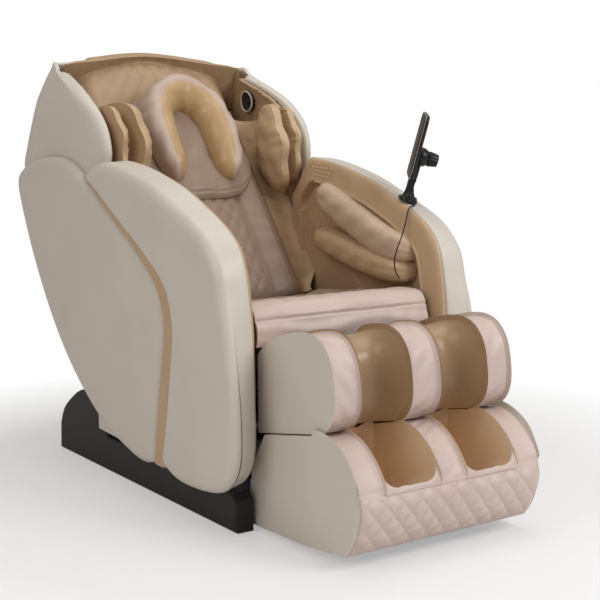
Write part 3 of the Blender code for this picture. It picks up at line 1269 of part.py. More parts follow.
FOOT_BACK = [(-0.345, 0.012), (-0.347, 0.070)]
FOOT_TOE = [(-0.766, 0.172), (-0.774, 0.150), (-0.770, 0.120), (-0.752, 0.070), (-0.726, 0.034)]
TOE_TOP = 0.172
TOE_BACK = [(-0.735, TOE_TOP), (-0.698, 0.036)]


def foot_top(behind):
    """The foot's flat lid, from b = behind forward, and the rounded top in front of it."""
    lid = [leg_at(SPLIT + SPLIT_GAP / 2, b) for b in np.linspace(behind, 0.165, 4)]
    crest = [lid[-1], (-0.630, 0.2800), (-0.664, 0.2680), (-0.690, 0.2500), (-0.722, 0.226), (-0.750, 0.197),
             (-0.766, TOE_TOP)]
    return lid[:-1], crest


def make_foot():
    inner = FOOT_HALF - FOOT_WALL
    cover = 0.262
    lid, crest = foot_top(-0.010)
    top = curve(crest, 9)
    below = [(-0.560, 0.018), FOOT_BACK[0], FOOT_BACK[1], (-0.368, 0.160)]
    toe = curve(FOOT_TOE, 7)[1:]
    notch = even([(TOE_BACK[0][0] + GAP, TOE_TOP + GAP), (TOE_BACK[1][0] + GAP, TOE_BACK[1][1] - GAP)], 6)
    for name, side in SIDES:
        rings = []
        for x, amount in ((inner, -0.010), (inner + 0.006, -0.002), (inner + 0.020, 0.006), (0.231, 0.009),
                          (0.250, 0.005), (cover, 0.0)):
            rings.append(ring(np.vstack([lid, swell(top, amount), notch, below]), side * x))
        for x, amount in ((cover, 0.0), (FOOT_HALF - 0.004, -0.001), (FOOT_HALF, -0.008)):
            rings.append(ring(np.vstack([lid, swell(top, amount), toe + (0.5 * abs(amount), 0.0), below]), side * x))
        add_piece(f"foot_wall_{name}", loft(rings), PINK, "foot_section", 50)

    make_toe_panel(cover - GAP)
    well_top, well_low = foot_well(inner - GAP)
    add_piece("foot_well", sheet(well_top, well_low), GOLD, "foot_section", 50)

    path = curve(WELL, 10)
    rim = path - normals(path, False) * GAP
    lid, crest = foot_top(0.093)
    rear = np.vstack([rim[::-1], lid])
    wall = puffed_wall(curve(crest[:-1], 9), rear, -FOOT_CENTRE_HALF, FOOT_CENTRE_HALF)
    add_piece("foot_wall_centre", wall, PINK, "foot_section", 50)
    make_foot_frame(inner)


def make_toe_panel(half):
    rows, cols = 7, 19
    face = curve(FOOT_TOE, rows)
    rear = even(TOE_BACK, rows)
    front, back = [], []
    for i in range(rows):
        u = i / (rows - 1)
        upper, lower = [], []
        for j in range(cols):
            v = 2 * j / (cols - 1) - 1
            edge = max(abs(2 * u - 1) ** 6, abs(v) ** 14)
            puff = 0.004 * abs(math.sin(math.pi * (v * 5 + u * 1.5))) * abs(math.sin(math.pi * (v * 5 - u * 1.5)))
            upper.append((half * v, face[i][0] + 0.003 * edge - puff * (1 - edge), face[i][1]))
            lower.append((half * v, *rear[i]))
        front.append(upper)
        back.append(lower)
    add_piece("toe_panel", sheet(front, back, flat=True), PINK, "foot_section", 60)


WELL = [(-0.5190, 0.2615), (-0.494, 0.200), (-0.476, 0.140), (-0.494, 0.094), (-0.560, 0.080), (-0.640, 0.096),
        (-0.686, 0.130), (-0.7160, 0.172)]


def foot_well(half):
    """The two foot wells as one lining: a heel cup, a sole and sides that curl up the walls."""
    path = curve(WELL, 10)
    outward = normals(path, False)
    across = [-half, -half * 0.96, -0.160, -0.1175, -0.075, -0.050, -FOOT_CENTRE_HALF - 0.0006, -FOOT_CENTRE_HALF]
    across = across + [-x for x in across[::-1]]
    front, back = [], []
    for i, point in enumerate(path):
        u = i / (len(path) - 1)
        upper, lower = [], []
        for x in across:
            w = (abs(x) - FOOT_CENTRE_HALF) / (half - FOOT_CENTRE_HALF)
            lift = 0.0 if w <= 0 else 0.026 * abs(2 * w - 1) ** 3 * math.sin(math.pi * u) ** 0.5
            at = point - outward[i] * lift
            upper.append((x, at[0], at[1]))
            under = point + outward[i] * 0.008
            lower.append((x, under[0], under[1]))
        front.append(upper)
        back.append(lower)
    return front, back


ROLLER_AT = (-0.585, 0.046)


def make_foot_frame(inner):
    half = inner - GAP
    deck = SPLIT + SPLIT_GAP / 2 + 0.004
    bars = both_sides(lambda side: slab([leg_at(0.055, 0.0305), leg_at(0.055, 0.0485), leg_at(0.243, 0.0485),
                                         leg_at(0.243, 0.0305)], side * (BAR_X - BAR_HALF), side * (BAR_X + BAR_HALF)))
    shelf = slab([leg_at(deck, -0.030), leg_at(deck, 0.046), leg_at(deck + 0.008, 0.046),
                  leg_at(deck + 0.008, -0.030)], -half, half)
    spine = slab([leg_at(deck + 0.001, -0.030), leg_at(deck + 0.004, -0.019), (-0.360, 0.016),
                  (-0.351, 0.014)], -half, half)
    tray = slab([(-0.350, 0.0180), (-0.697, 0.0353), (-0.697, 0.0293), (-0.350, 0.0120)], -half, half)
    ribs = [slab([(-0.510, 0.0240), (-0.562, 0.0640), (-0.606, 0.0640), (-0.670, 0.0320)], x - 0.004, x + 0.004)
            for x in (-half + 0.006, 0.0, half - 0.006)]
    hole = rod((-0.22, *ROLLER_AT), (0.22, *ROLLER_AT), 0.005 + RUN, 16)
    frame = cut(fuse(shelf, *bars, spine, tray, *ribs), hole)
    add_piece("foot_frame", frame, STEEL, "foot_section")

    shaft = rod((-half + 0.003, *ROLLER_AT), (half - 0.003, *ROLLER_AT), 0.005, 16)
    bumps = []
    for side in (-1, 1):
        for x in (0.045, 0.085, 0.125):
            bumps.append(turned((side * x, *ROLLER_AT), (side, 0, 0),
                                [(0, 0.009), (0.010, 0.0155), (0.030, 0.0155), (0.0405, 0.009)], 12))
    add_piece("sole_roller", fuse(shaft, *bumps), GREY, "sole_roller")


# ---------------------------------------------------------------- assembly

def make_bodies():
    add_body("base", None, (0, 0, 0))
    add_body("switch", "base", (0.096, BASE_REAR - 0.001, 0.0485))
    for name, side in SIDES:
        add_body(f"wheel_{name}", "base", (side * WHEEL_X, WHEEL_Y, WHEEL_RADIUS + 0.002))
    add_body("seat_lift_tube", "base", (0, *SEAT_LIFT_LOW))
    add_body("seat_lift_rod", "seat_lift_tube", (0, *SEAT_LIFT_HIGH))
    add_body("seat_unit", "base", (0, *SEAT_PIVOT))
    add_body("recline_tube", "seat_unit", (-0.090, *RECLINE_LOW))
    add_body("recline_rod", "recline_tube", (-0.090, *RECLINE_HIGH))
    add_body("leg_lift_tube", "seat_unit", (0.090, *LEG_LIFT_LOW))
    add_body("leg_lift_rod", "leg_lift_tube", (0.090, *LEG_LIFT_HIGH))
    add_body("stand_swivel", "seat_unit", stand_foot() + stand_up() * (STAND_LIFT + 0.012))
    add_body("tablet_tilt", "stand_swivel", tilt_point())
    add_body("knob_turn", "tablet_tilt", knob_place())
    add_body("backrest", "seat_unit", (0, *BACK_PIVOT))
    add_body("carriage", "backrest", (0, *back_at(CARRIAGE_S, CARRIAGE_D)))
    add_body("rollers", "carriage", (0, *back_at(CARRIAGE_S, CARRIAGE_D)))
    add_body("calf_section", "seat_unit", (0, *CALF_PIVOT))
    add_body("foot_section", "calf_section", (0, *leg_at(SPLIT, 0.0395)))
    add_body("sole_roller", "foot_section", (0, *ROLLER_AT))


def build():
    make_bodies()
    make_base()
    make_seat()
    for name, side in SIDES:
        make_arm(name, side)
    make_controller()
    make_back_frame()
    make_hood()
    make_back_pads()
    for name, side in SIDES:
        make_shoulder_pad(name, side)
        make_speaker(name, side)
    make_carriage()
    make_calf()
    make_foot()
    make_actuator("seat_lift", 0.0, SEAT_LIFT_LOW, SEAT_LIFT_HIGH, 0.62, 0.150)
    make_actuator("recline", -0.090, RECLINE_LOW, RECLINE_HIGH, 0.60, 0.130)
    make_actuator("leg_lift", 0.090, LEG_LIFT_LOW, LEG_LIFT_HIGH, 0.62, 0.040)
    bpy.context.view_layer.update()


build()
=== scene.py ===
import math
import bmesh
import bpy
import numpy as np
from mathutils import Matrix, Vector


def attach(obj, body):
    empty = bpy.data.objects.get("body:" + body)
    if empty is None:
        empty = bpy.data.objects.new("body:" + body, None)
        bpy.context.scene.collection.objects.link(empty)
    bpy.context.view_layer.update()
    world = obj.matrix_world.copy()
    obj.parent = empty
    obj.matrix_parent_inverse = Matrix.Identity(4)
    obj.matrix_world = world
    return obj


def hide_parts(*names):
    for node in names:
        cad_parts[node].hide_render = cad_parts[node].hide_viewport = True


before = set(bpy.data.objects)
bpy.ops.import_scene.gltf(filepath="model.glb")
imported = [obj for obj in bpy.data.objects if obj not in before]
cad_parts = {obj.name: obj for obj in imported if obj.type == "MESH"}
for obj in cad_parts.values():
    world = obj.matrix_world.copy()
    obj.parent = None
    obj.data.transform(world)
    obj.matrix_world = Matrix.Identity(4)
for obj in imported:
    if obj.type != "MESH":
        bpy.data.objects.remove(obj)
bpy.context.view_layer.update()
scene = bpy.context.scene
for spare in ("Cube", "Light", "Camera"):
    if spare in bpy.data.objects:
        bpy.data.objects.remove(bpy.data.objects[spare])


# ---------------------------------------------------------------- small helpers

def place_object(name, data):
    """A new object in the scene."""
    made = bpy.data.objects.new(name, data)
    scene.collection.objects.link(made)
    return made


def add_node(tree, kind, values=(), **setup):
    """A new node in a tree, with its input values and properties."""
    made = tree.nodes.new(kind)
    for label, value in setup.items():
        setattr(made, label, value)
    for label, value in dict(values).items():
        made.inputs[label].default_value = value
    return made


def wire(tree, *links):
    """Link nodes, each link given as from which node and output to which node and input."""
    for start, output, end, socket in links:
        tree.links.new(start.outputs[output], end.inputs[socket])


def new_material(name, values):
    """A material with some values on its Principled shader; gives it, its tree and the shader."""
    made = bpy.data.materials.new(name)
    made.use_nodes = True
    shader = made.node_tree.nodes["Principled BSDF"]
    for label, value in values.items():
        shader.inputs[label].default_value = value
    return made, made.node_tree, shader


def surface(name, finish, tones, patches, rough, texture, bump):
    """A material whose tone and roughness follow faint patches, under a fine bumpy texture."""
    made, tree, shader = new_material(name, finish)
    kind, size, output = texture
    place = add_node(tree, "ShaderNodeTexCoord")
    spots = add_node(tree, "ShaderNodeTexNoise", patches)
    tint = add_node(tree, "ShaderNodeValToRGB")
    for stop, (position, colour) in zip(tint.color_ramp.elements, tones):
        stop.position = position
        stop.color = (*colour, 1.0)
    grain = add_node(tree, kind, size)
    dents = add_node(tree, "ShaderNodeBump", bump)
    wear = add_node(tree, "ShaderNodeMapRange", {"To Min": rough[0], "To Max": rough[1]})
    wire(tree, (place, "Object", spots, "Vector"), (place, "Object", grain, "Vector"),
         (spots, "Fac", tint, "Fac"), (spots, "Fac", wear, "Value"), (tint, "Color", shader, "Base Color"),
         (wear, "Result", shader, "Roughness"), (grain, output, dents, "Height"),
         (dents, "Normal", shader, "Normal"))
    return made, tree, place, dents


def leather(name, light, dark, rough, grain=0.1, pore=620.0, crease=0.0, crease_size=26.0, coat=0.0):
    """Coated leather: patches of two tones, fine pores, and shallow creases where it is soft."""
    made, tree, place, pores = surface(
        name, {"Specular IOR Level": 0.45, "Coat Weight": coat, "Coat Roughness": 0.25},
        ((0.32, dark), (0.62, light)), {"Scale": 7.0, "Detail": 5.0}, (rough - 0.06, rough + 0.08),
        ("ShaderNodeTexVoronoi", {"Scale": pore}, "Distance"), {"Strength": grain, "Distance": 0.0004})
    made.diffuse_color = (*light, 1.0)
    if crease:
        folds = add_node(tree, "ShaderNodeTexNoise", {"Scale": crease_size, "Detail": 4.0, "Distortion": 1.6})
        soft = add_node(tree, "ShaderNodeBump", {"Strength": crease, "Distance": 0.006})
        wire(tree, (place, "Object", folds, "Vector"), (folds, "Fac", soft, "Height"),
             (soft, "Normal", pores, "Normal"))
    return made


def moulded(name, colour, rough, grain, size, metallic=0.0):
    """A hard surface: even colour with faint patches and a fine texture."""
    tones = ((0.0, [c * 0.86 for c in colour]), (1.0, [min(1.0, c * 1.1) for c in colour]))
    return surface(name, {"Metallic": metallic, "Specular IOR Level": 0.5 if metallic else 0.3}, tones,
                   {"Scale": 11.0, "Detail": 6.0}, (rough - 0.07, rough + 0.08),
                   ("ShaderNodeTexNoise", {"Scale": size, "Detail": 2.0}, "Fac"),
                   {"Strength": grain, "Distance": 0.0005})[0]


def spline(points, count):
    """count evenly spaced points on a smooth curve through the given ones."""
    given = [np.array(p, float) for p in points]
    given = [2 * given[0] - given[1]] + given + [2 * given[-1] - given[-2]]
    dense = []
    for a, b, c, d in zip(given, given[1:], given[2:], given[3:]):
        tb = np.linalg.norm(b - a) ** 0.5
        tc = tb + np.linalg.norm(c - b) ** 0.5
        td = tc + np.linalg.norm(d - c) ** 0.5
        for t in np.linspace(tb, tc, 24, endpoint=False):
            ab = a * (tb - t) / tb + b * t / tb
            bc = b * (tc - t) / (tc - tb) + c * (t - tb) / (tc - tb)
            cd = c * (td - t) / (td - tc) + d * (t - tc) / (td - tc)
            left = ab * (tc - t) / tc + bc * t / tc
            right = bc * (td - t) / (td - tb) + cd * (t - tb) / (td - tb)
            dense.append(left * (tc - t) / (tc - tb) + right * (t - tb) / (tc - tb))
    dense.append(given[-2])
    return even(dense, count)


def even(points, count):
    """count evenly spaced points along straight runs through the given ones."""
    run = np.array(points, float)
    along = np.concatenate([[0.0], np.cumsum(np.linalg.norm(np.diff(run, axis=0), axis=1))])
    wanted = np.linspace(0.0, along[-1], count)
    return np.stack([np.interp(wanted, along, run[:, k]) for k in range(run.shape[1])], axis=1)


def distance_to(places, line):
    """Distance of each (y, z) place from a run of points."""
    best = np.full(places.shape[:-1], 1e9)
    for a, b in zip(line[:-1], line[1:]):
        way = b - a
        part = np.clip(((places - a) @ way) / max(way @ way, 1e-12), 0.0, 1.0)
        best = np.minimum(best, np.linalg.norm(places - a - part[..., None] * way, axis=-1))
    return best


def left_of(run):
    """Unit left normals of a run in a plane."""
    way = np.gradient(run, axis=0)
    way /= np.maximum(np.linalg.norm(way, axis=1, keepdims=True), 1e-9)
    return np.stack([-way[:, 1], way[:, 0]], axis=1)


def cosine_steps(count):
    """Shares from 0 to 1, close together at both ends."""
    return 0.5 * (1.0 - np.cos(np.linspace(0.0, math.pi, count)))


def sine_steps(count):
    """Shares from -1 to 1, close together at both ends."""
    return np.sin(np.linspace(-1.0, 1.0, count) * math.pi / 2)


def from_ends(count):
    """How many points each of a run's points is from the nearer end."""
    return np.minimum(np.arange(count), np.arange(count)[::-1])


def ramp(value, start, length):
    """0 before start and 1 past start + length; a negative length makes it fall."""
    return np.clip((value - start) / length, 0.0, 1.0)


def smooth(share):
    return share * share * (3 - 2 * share)


def ridge(value, at, width):
    """A narrow ridge of height 1 round one value."""
    return np.exp(-((value - at) / width) ** 2)


def bulge(near, rim):
    """Height share of a rounded rim at a distance from its edge: 0 at the edge, 1 past the rim."""
    return np.sqrt(np.clip(1.0 - (1.0 - np.clip(near / rim, 0.0, 1.0)) ** 2, 0.0, 1.0))


def edge_share(u, v, along, across):
    """1 at the edge of a pad with u from 0 to 1 and v from -1 to 1, and 0 well inside it."""
    return np.maximum(abs(2 * u - 1) ** along, abs(v) ** across)


def diamonds(a, b, rate, sharp=0.5):
    """Diamond quilting: 0 on its seams, 1 in the middle of each diamond."""
    return abs(np.sin((a + b) * rate) * np.sin((a - b) * rate)) ** sharp


def between(first, second, share):
    """Grid of places from one run to another."""
    share = np.atleast_2d(share)[..., None]
    return first[:, None, :] * (1 - share) + second[:, None, :] * share


def at_x(x, places):
    """(y, z) places set at one x, or at an x for each."""
    return np.concatenate([np.broadcast_to(x, places.shape[:-1])[..., None], places], axis=-1)


def sheet(x, y, z):
    """Grid of points from three grids that fit together."""
    return np.stack(np.broadcast_arrays(x, y, z), axis=-1)


def closed_sheet(front, back, shape=None):
    """Add the closed body between two grids of points to a mesh."""
    shape = shape or bmesh.new()
    rows, cols = front.shape[:2]
    tops = [[shape.verts.new(front[i, j]) for j in range(cols)] for i in range(rows)]
    lows = [[shape.verts.new(back[i, j]) for j in range(cols)] for i in range(rows)]
    for i in range(rows - 1):
        for j in range(cols - 1):
            shape.faces.new((tops[i][j], tops[i][j + 1], tops[i + 1][j + 1], tops[i + 1][j]))
            shape.faces.new((lows[i][j], lows[i + 1][j], lows[i + 1][j + 1], lows[i][j + 1]))
    rim = [(i, 0) for i in range(rows)] + [(rows - 1, j) for j in range(1, cols)]
    rim += [(i, cols - 1) for i in range(rows - 2, -1, -1)] + [(0, j) for j in range(cols - 2, 0, -1)]
    for (a, b), (c, d) in zip(rim, rim[1:] + rim[:1]):
        shape.faces.new((tops[a][b], tops[c][d], lows[c][d], lows[a][b]))
    return shape


def slab(side, front, back, places):
    """Closed body on one side of the chair from one x to another, each for all places or for each."""
    return closed_sheet(at_x(side * front, places), at_x(side * back, places))


def loft(rings, shape=None, tone=0):
    """Add the closed body through rings of points, capped with a fan at each end.

    tone is the material's index: one for all, one for each ring or one for each point.
    """
    shape = shape or bmesh.new()
    rows = [[shape.verts.new(p) for p in one] for one in rings]
    count = len(rows[0])
    tones = np.broadcast_to(np.transpose(tone), (count, len(rows))).T.tolist()
    for low, high, shades in zip(rows, rows[1:], tones):
        for k in range(count):
            n = (k + 1) % count
            shape.faces.new((low[k], low[n], high[n], high[k])).material_index = shades[k]
    for one, shades in ((rows[0], tones[0]), (rows[-1], tones[-1])):
        middle = shape.verts.new(sum((v.co for v in one), Vector()) / count)
        for k in range(count):
            shape.faces.new((one[k], one[(k + 1) % count], middle)).material_index = shades[k]
    return shape


def finish_piece(name, shape, materials, body, fill=None, angle=None, node=None):
    """Turn a built mesh into a piece that rides on a body, with its faces out and its shading smooth.

    Its name is the replaced node's with one word more, unless node names another or none. A fill
    only makes the default sharp angle 60 degrees instead of 40. Edges sharper than angle stay sharp.
    """
    bmesh.ops.remove_doubles(shape, verts=shape.verts, dist=1e-5)
    bmesh.ops.dissolve_degenerate(shape, dist=1e-7, edges=shape.edges)
    bmesh.ops.recalc_face_normals(shape, faces=shape.faces)
    mesh = bpy.data.meshes.new(name)
    shape.to_mesh(mesh)
    shape.free()
    mesh.shade_smooth()
    mesh.set_sharp_from_angle(angle=math.radians(angle or (60.0 if fill else 40.0)))
    for made in materials if isinstance(materials, list) else [materials]:
        mesh.materials.append(made)
    piece = place_object(name, mesh)
    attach(piece, body)
    replaced = name.rsplit("_", 1)[0] if node is None else node
    if replaced:
        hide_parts(replaced)
    return piece


# ---------------------------------------------------------------- camera, floor and light
# The photograph is taken from the chair's front right, at a seated person's eye height, with a
# long lens. The chair stands on a seamless white floor under broad studio lamps.

view = bpy.data.cameras.new("view")
view.lens = 75.56
view.sensor_width = 36.0
camera = place_object("camera", view)
camera.location = (-1.864, -2.8214, 0.9757)
camera.rotation_euler = (math.radians(90.0 - 8.0942), 0.0, math.radians(-35.0175))
scene.camera = camera
scene.view_settings.view_transform = "Standard"

floor_mesh = bpy.data.meshes.new("floor")
floor_mesh.from_pydata([(-14, -14, 0), (14, -14, 0), (14, 14, 0), (-14, 14, 0)], [], [(0, 1, 2, 3)])
floor = place_object("floor", floor_mesh)
paper, tree, matt = new_material("floor paper", {"Base Color": (0.86, 0.86, 0.86, 1.0), "Roughness": 0.9})
glow = add_node(tree, "ShaderNodeEmission")
rays = add_node(tree, "ShaderNodeLightPath")
share = add_node(tree, "ShaderNodeMath", operation="MULTIPLY")
place = add_node(tree, "ShaderNodeTexCoord")
away = add_node(tree, "ShaderNodeVectorMath", operation="LENGTH")
fade = add_node(tree, "ShaderNodeMapRange", {"From Min": 0.9, "From Max": 1.6, "To Min": 0.38, "To Max": 1.0})
blend = add_node(tree, "ShaderNodeMixShader")
wire(tree, (place, "Object", away, 0), (away, "Value", fade, "Value"), (fade, "Result", share, 0),
     (rays, "Is Camera Ray", share, 1), (share, "Value", blend, "Fac"), (matt, "BSDF", blend, 1),
     (glow, "Emission", blend, 2), (blend, "Shader", tree.nodes["Material Output"], "Surface"))
floor_mesh.materials.append(paper)

world = bpy.data.worlds.new("studio")
scene.world = world
world.use_nodes = True
tree = world.node_tree
air = tree.nodes["Background"]
air.inputs["Color"].default_value = (1.0, 0.955, 0.9, 1.0)
air.inputs["Strength"].default_value = 0.36
backdrop = add_node(tree, "ShaderNodeBackground", {"Color": (1.0, 1.0, 1.0, 1.0), "Strength": 1.0})
rays = add_node(tree, "ShaderNodeLightPath")
through = add_node(tree, "ShaderNodeMath", operation="MAXIMUM")
blend = add_node(tree, "ShaderNodeMixShader")
wire(tree, (rays, "Is Camera Ray", through, 0), (rays, "Is Transmission Ray", through, 1),
     (through, "Value", blend, "Fac"), (air, "Background", blend, 1), (backdrop, "Background", blend, 2),
     (blend, "Shader", tree.nodes["World Output"], "Surface"))

for name, spot, power, size, tint in (("key lamp", (1.3, -3.2, 2.7), 72.0, 1.8, (0.97, 0.98, 1.0)),
                                      ("top lamp", (0.3, 0.1, 3.4), 30.0, 2.4, (1.0, 0.99, 0.97)),
                                      ("side lamp", (-3.1, -1.0, 2.6), 25.0, 1.8, (1.0, 0.97, 0.93))):
    lamp = bpy.data.lights.new(name, "AREA")
    lamp.energy = power
    lamp.color = tint
    lamp.size = size
    holder = place_object(name, lamp)
    holder.location = spot
    aim = Vector((0.0, 0.0, 0.55)) - Vector(spot)
    holder.rotation_euler = aim.to_track_quat("-Z", "Y").to_euler()


# ---------------------------------------------------------------- materials

ivory = leather("ivory leather", (0.65, 0.6, 0.53), (0.622, 0.572, 0.5), 0.4)
tan = leather("tan leather", (0.545, 0.38, 0.232), (0.495, 0.335, 0.198), 0.42, crease=0.1)
tan_soft = leather("soft tan leather", (0.545, 0.385, 0.235), (0.49, 0.335, 0.195), 0.42, crease=0.3,
                   crease_size=34.0)
tan_liner = leather("hood lining tan", (0.44, 0.3, 0.182), (0.395, 0.262, 0.152), 0.42, crease=0.12)
tan_glossy = leather("glossy tan leather", (0.41, 0.276, 0.162), (0.362, 0.238, 0.134), 0.34, crease=0.1,
                     coat=0.1)
# Painted light: the foot wells' tan lining is a lighter copy of the glossy tan, painted brighter to make up
# for the shade that falls in the wells.
well_tan_painted_light = leather("well tan leather painted lighter", (0.78, 0.59, 0.405), (0.72, 0.535, 0.355), 0.3, crease=0.12,
                   coat=0.3)
golden = leather("golden tan leather", (0.52, 0.35, 0.18), (0.465, 0.305, 0.15), 0.36, crease=0.14)
rose = leather("rose beige leather", (0.64, 0.515, 0.465), (0.6, 0.475, 0.425), 0.44, crease=0.2)
rose_pillow = leather("pillow rose leather", (0.54, 0.415, 0.345), (0.495, 0.372, 0.3), 0.42, crease=0.18)
rose_brown = leather("brown rose leather", (0.318, 0.228, 0.17), (0.285, 0.2, 0.146), 0.42, crease=0.16)
beige = leather("beige leather", (0.59, 0.44, 0.315), (0.54, 0.395, 0.275), 0.44, crease=0.24)
thread = leather("thread", (0.6, 0.54, 0.45), (0.52, 0.46, 0.38), 0.65, grain=0.3, pore=2400.0)

SIDES = (("right", -1.0), ("left", 1.0))
SIDE_BACK = 0.3588      # x of the hidden back of what covers the chair's sides
LINER_BACK = 0.3     # x of the board behind the arm's lining
PAD_BACK = 0.293       # x of the forearm pads' backs
seam_runs = {"seat_unit": [], "backrest": [], "calf_section": [], "foot_section": []}


# ---------------------------------------------------------------- rear side panels
# Two large leaf-shaped panels at the back of each side: moulded board, padded with thin foam and
# covered in smooth ivory leather, with a soft rounded rim. Each is clipped to the seat unit.

leaf_front = spline([(-0.048, 0.112), (-0.067, 0.239), (-0.084, 0.334), (-0.104, 0.44), (-0.1, 0.503),
                     (-0.062, 0.572), (0.024, 0.638), (0.163, 0.72), (0.335, 0.824)], 120)
leaf_rear = spline([(-0.048, 0.112), (0.01, 0.1), (0.1, 0.115), (0.239, 0.159), (0.393, 0.253),
                    (0.507, 0.353), (0.607, 0.471), (0.716, 0.639), (0.779, 0.78), (0.776, 0.812),
                    (0.739, 0.838), (0.64, 0.866), (0.516, 0.875), (0.42, 0.862), (0.335, 0.824)], 120)
leaf = between(leaf_front, leaf_rear, cosine_steps(56))
near = np.minimum(distance_to(leaf, leaf_front), distance_to(leaf, leaf_rear))
height = 0.3655 + 0.0165 * bulge(near, 0.024) + 0.0042 * (1 - np.exp(-near / 0.07))
for name, side in SIDES:
    finish_piece(f"side_panel_{name}_cover", slab(side, height, SIDE_BACK, leaf), ivory, "seat_unit")


# ---------------------------------------------------------------- arms and their inlays
# Each arm is a hollow box behind a broad skin that folds round the front in one soft bend. A tan
# inlay fills the groove between the skin and the rear panel.

arm_inner = spline([(0.3, 0.873), (0.24, 0.8735), (0.166, 0.87), (0.041, 0.85), (-0.143, 0.797),
                    (-0.333, 0.698), (-0.37, 0.64), (-0.386, 0.57), (-0.396, 0.49), (-0.4, 0.336),
                    (-0.402, 0.232), (-0.39, 0.165), (-0.35, 0.122), (-0.25, 0.114), (-0.103, 0.11)], 130)
arm_outer = spline([(0.325, 0.828), (0.27, 0.856), (0.205, 0.866), (-0.01, 0.826), (-0.165, 0.768),
                    (-0.299, 0.709), (-0.367, 0.64), (-0.389, 0.568), (-0.412, 0.501), (-0.434, 0.404),
                    (-0.452, 0.283), (-0.446, 0.18), (-0.396, 0.117), (-0.3, 0.09), (-0.17, 0.088),
                    (-0.103, 0.11)], 130)
inlay_front = spline([(-0.103, 0.11), (-0.133, 0.251), (-0.149, 0.345), (-0.165, 0.449), (-0.163, 0.496),
                      (-0.134, 0.567), (-0.044, 0.635), (0.126, 0.729), (0.273, 0.809), (0.325, 0.828)], 130)
SKIN_RIM = 0.034        # width of the skin's rounded rim


def arm_edge(x):
    """The arm's top and front edge at half-width x."""
    share = (x - 0.287) / 0.098
    return arm_inner * (1 - share) + arm_outer * share


def arm_outline(x, shrink=0.0):
    """Closed outline of the arm's box at half-width x, with its sloped rear corner."""
    edge = arm_edge(x).copy()
    edge[:, 0] = np.minimum(edge[:, 0], 0.3)
    slope = 0.873 - (edge[:, 0] - 0.212) * 1.3
    edge[:, 1] = np.where(edge[:, 0] > 0.212, np.minimum(edge[:, 1], slope), edge[:, 1])
    low_rear = (0.3, 0.13)
    run = np.vstack([edge, even([edge[-1], low_rear], 30)[1:], even([low_rear, edge[0]], 40)[1:-1]])
    way = np.roll(run, -1, axis=0) - np.roll(run, 1, axis=0)
    way /= np.maximum(np.linalg.norm(way, axis=1, keepdims=True), 1e-9)
    return run + np.stack([-way[:, 1], way[:, 0]], axis=1) * shrink


edge = arm_edge(0.385)
skin = between(edge, inlay_front[::-1], cosine_steps(46))
from_edge = distance_to(skin, edge)
from_inlay = distance_to(skin, inlay_front)
rise = 0.0262 * bulge(from_edge, SKIN_RIM) - 0.0045 * (1 - bulge(from_inlay, 0.008)) * bulge(from_edge, 0.02)
rise += 0.003 * (1 - np.exp(-np.minimum(from_edge, from_inlay) / 0.08)) * bulge(from_edge, SKIN_RIM)
skin = skin + (arm_edge(0.36) - edge)[:, None, :] * (1 - bulge(from_edge, SKIN_RIM))[..., None]
box_rims = ((0.3004, 0.02), (0.3004, 0.0045), (0.3012, 0.0022), (0.3035, 0.0006), (0.307, 0.0), (0.32, 0.0),
            (0.34, 0.0), (0.3597, 0.0))
for name, side in SIDES:
    shape = slab(side, 0.3598 + rise, SIDE_BACK, skin)
    loft([at_x(side * x, arm_outline(x, shrink)) for x, shrink in box_rims], shape)
    finish_piece(f"arm_shell_{name}_cover", shape, ivory, "seat_unit")

inlay_rear = even(leaf_front, 130)
inlay = between(inlay_front, inlay_rear, cosine_steps(20))
near = np.minimum(distance_to(inlay, inlay_front), distance_to(inlay, inlay_rear))
height = 0.364 + 0.0125 * bulge(near, 0.01) + 0.0015 * bulge(near, 0.03)
for name, side in SIDES:
    finish_piece(f"side_stripe_{name}_inlay", slab(side, height, SIDE_BACK, inlay), tan, "seat_unit")


# ---------------------------------------------------------------- arm linings
# The arm's inner face is a padded board: a roll follows its edge, a stitched channel runs inside
# the roll, and the cover gathers into pleats where the back swings past it.

heart = np.array((-0.06, 0.5))
outline = arm_outline(0.291, 0.0045)
outward = np.linspace(0.0, 1.0, 150) ** 0.75
lining = heart + (outline[None, :, :] - heart) * outward[:, None, None]
y, z = lining[..., 0], lining[..., 1]
near = distance_to(lining, np.vstack([outline, outline[:1]]))
along_front = (ramp(outline[:, 1], 0.3, 0.25) * ramp(outline[:, 0], 0.33, -0.06))[None, :]
upper = ramp(z, 0.36, 0.1)
band = ramp(near, 0.0, 0.062) ** 0.85 * upper * along_front
inside = smooth(ramp(near, 0.064, 0.006)) * upper * along_front
pleats = ramp(y, 0.055, 0.04) * ramp(z, 0.6, 0.06)
reach = 0.0035 + 0.009 * bulge(near, 0.017) * (1 - 0.4 * upper * along_front) + 0.02 * band
reach -= 0.0245 * inside - 0.002 * ridge(near, 0.06, 0.003) * upper * along_front
reach += 0.0034 * pleats * np.sin((y * 0.93 + z * 0.36) * 310.0 + 0.6 * np.sin(z * 26.0)) * bulge(near, 0.02)
reach += 0.001 * np.sin(y * 53.0 + 1.3) * np.sin(z * 47.0) * bulge(near, 0.02)
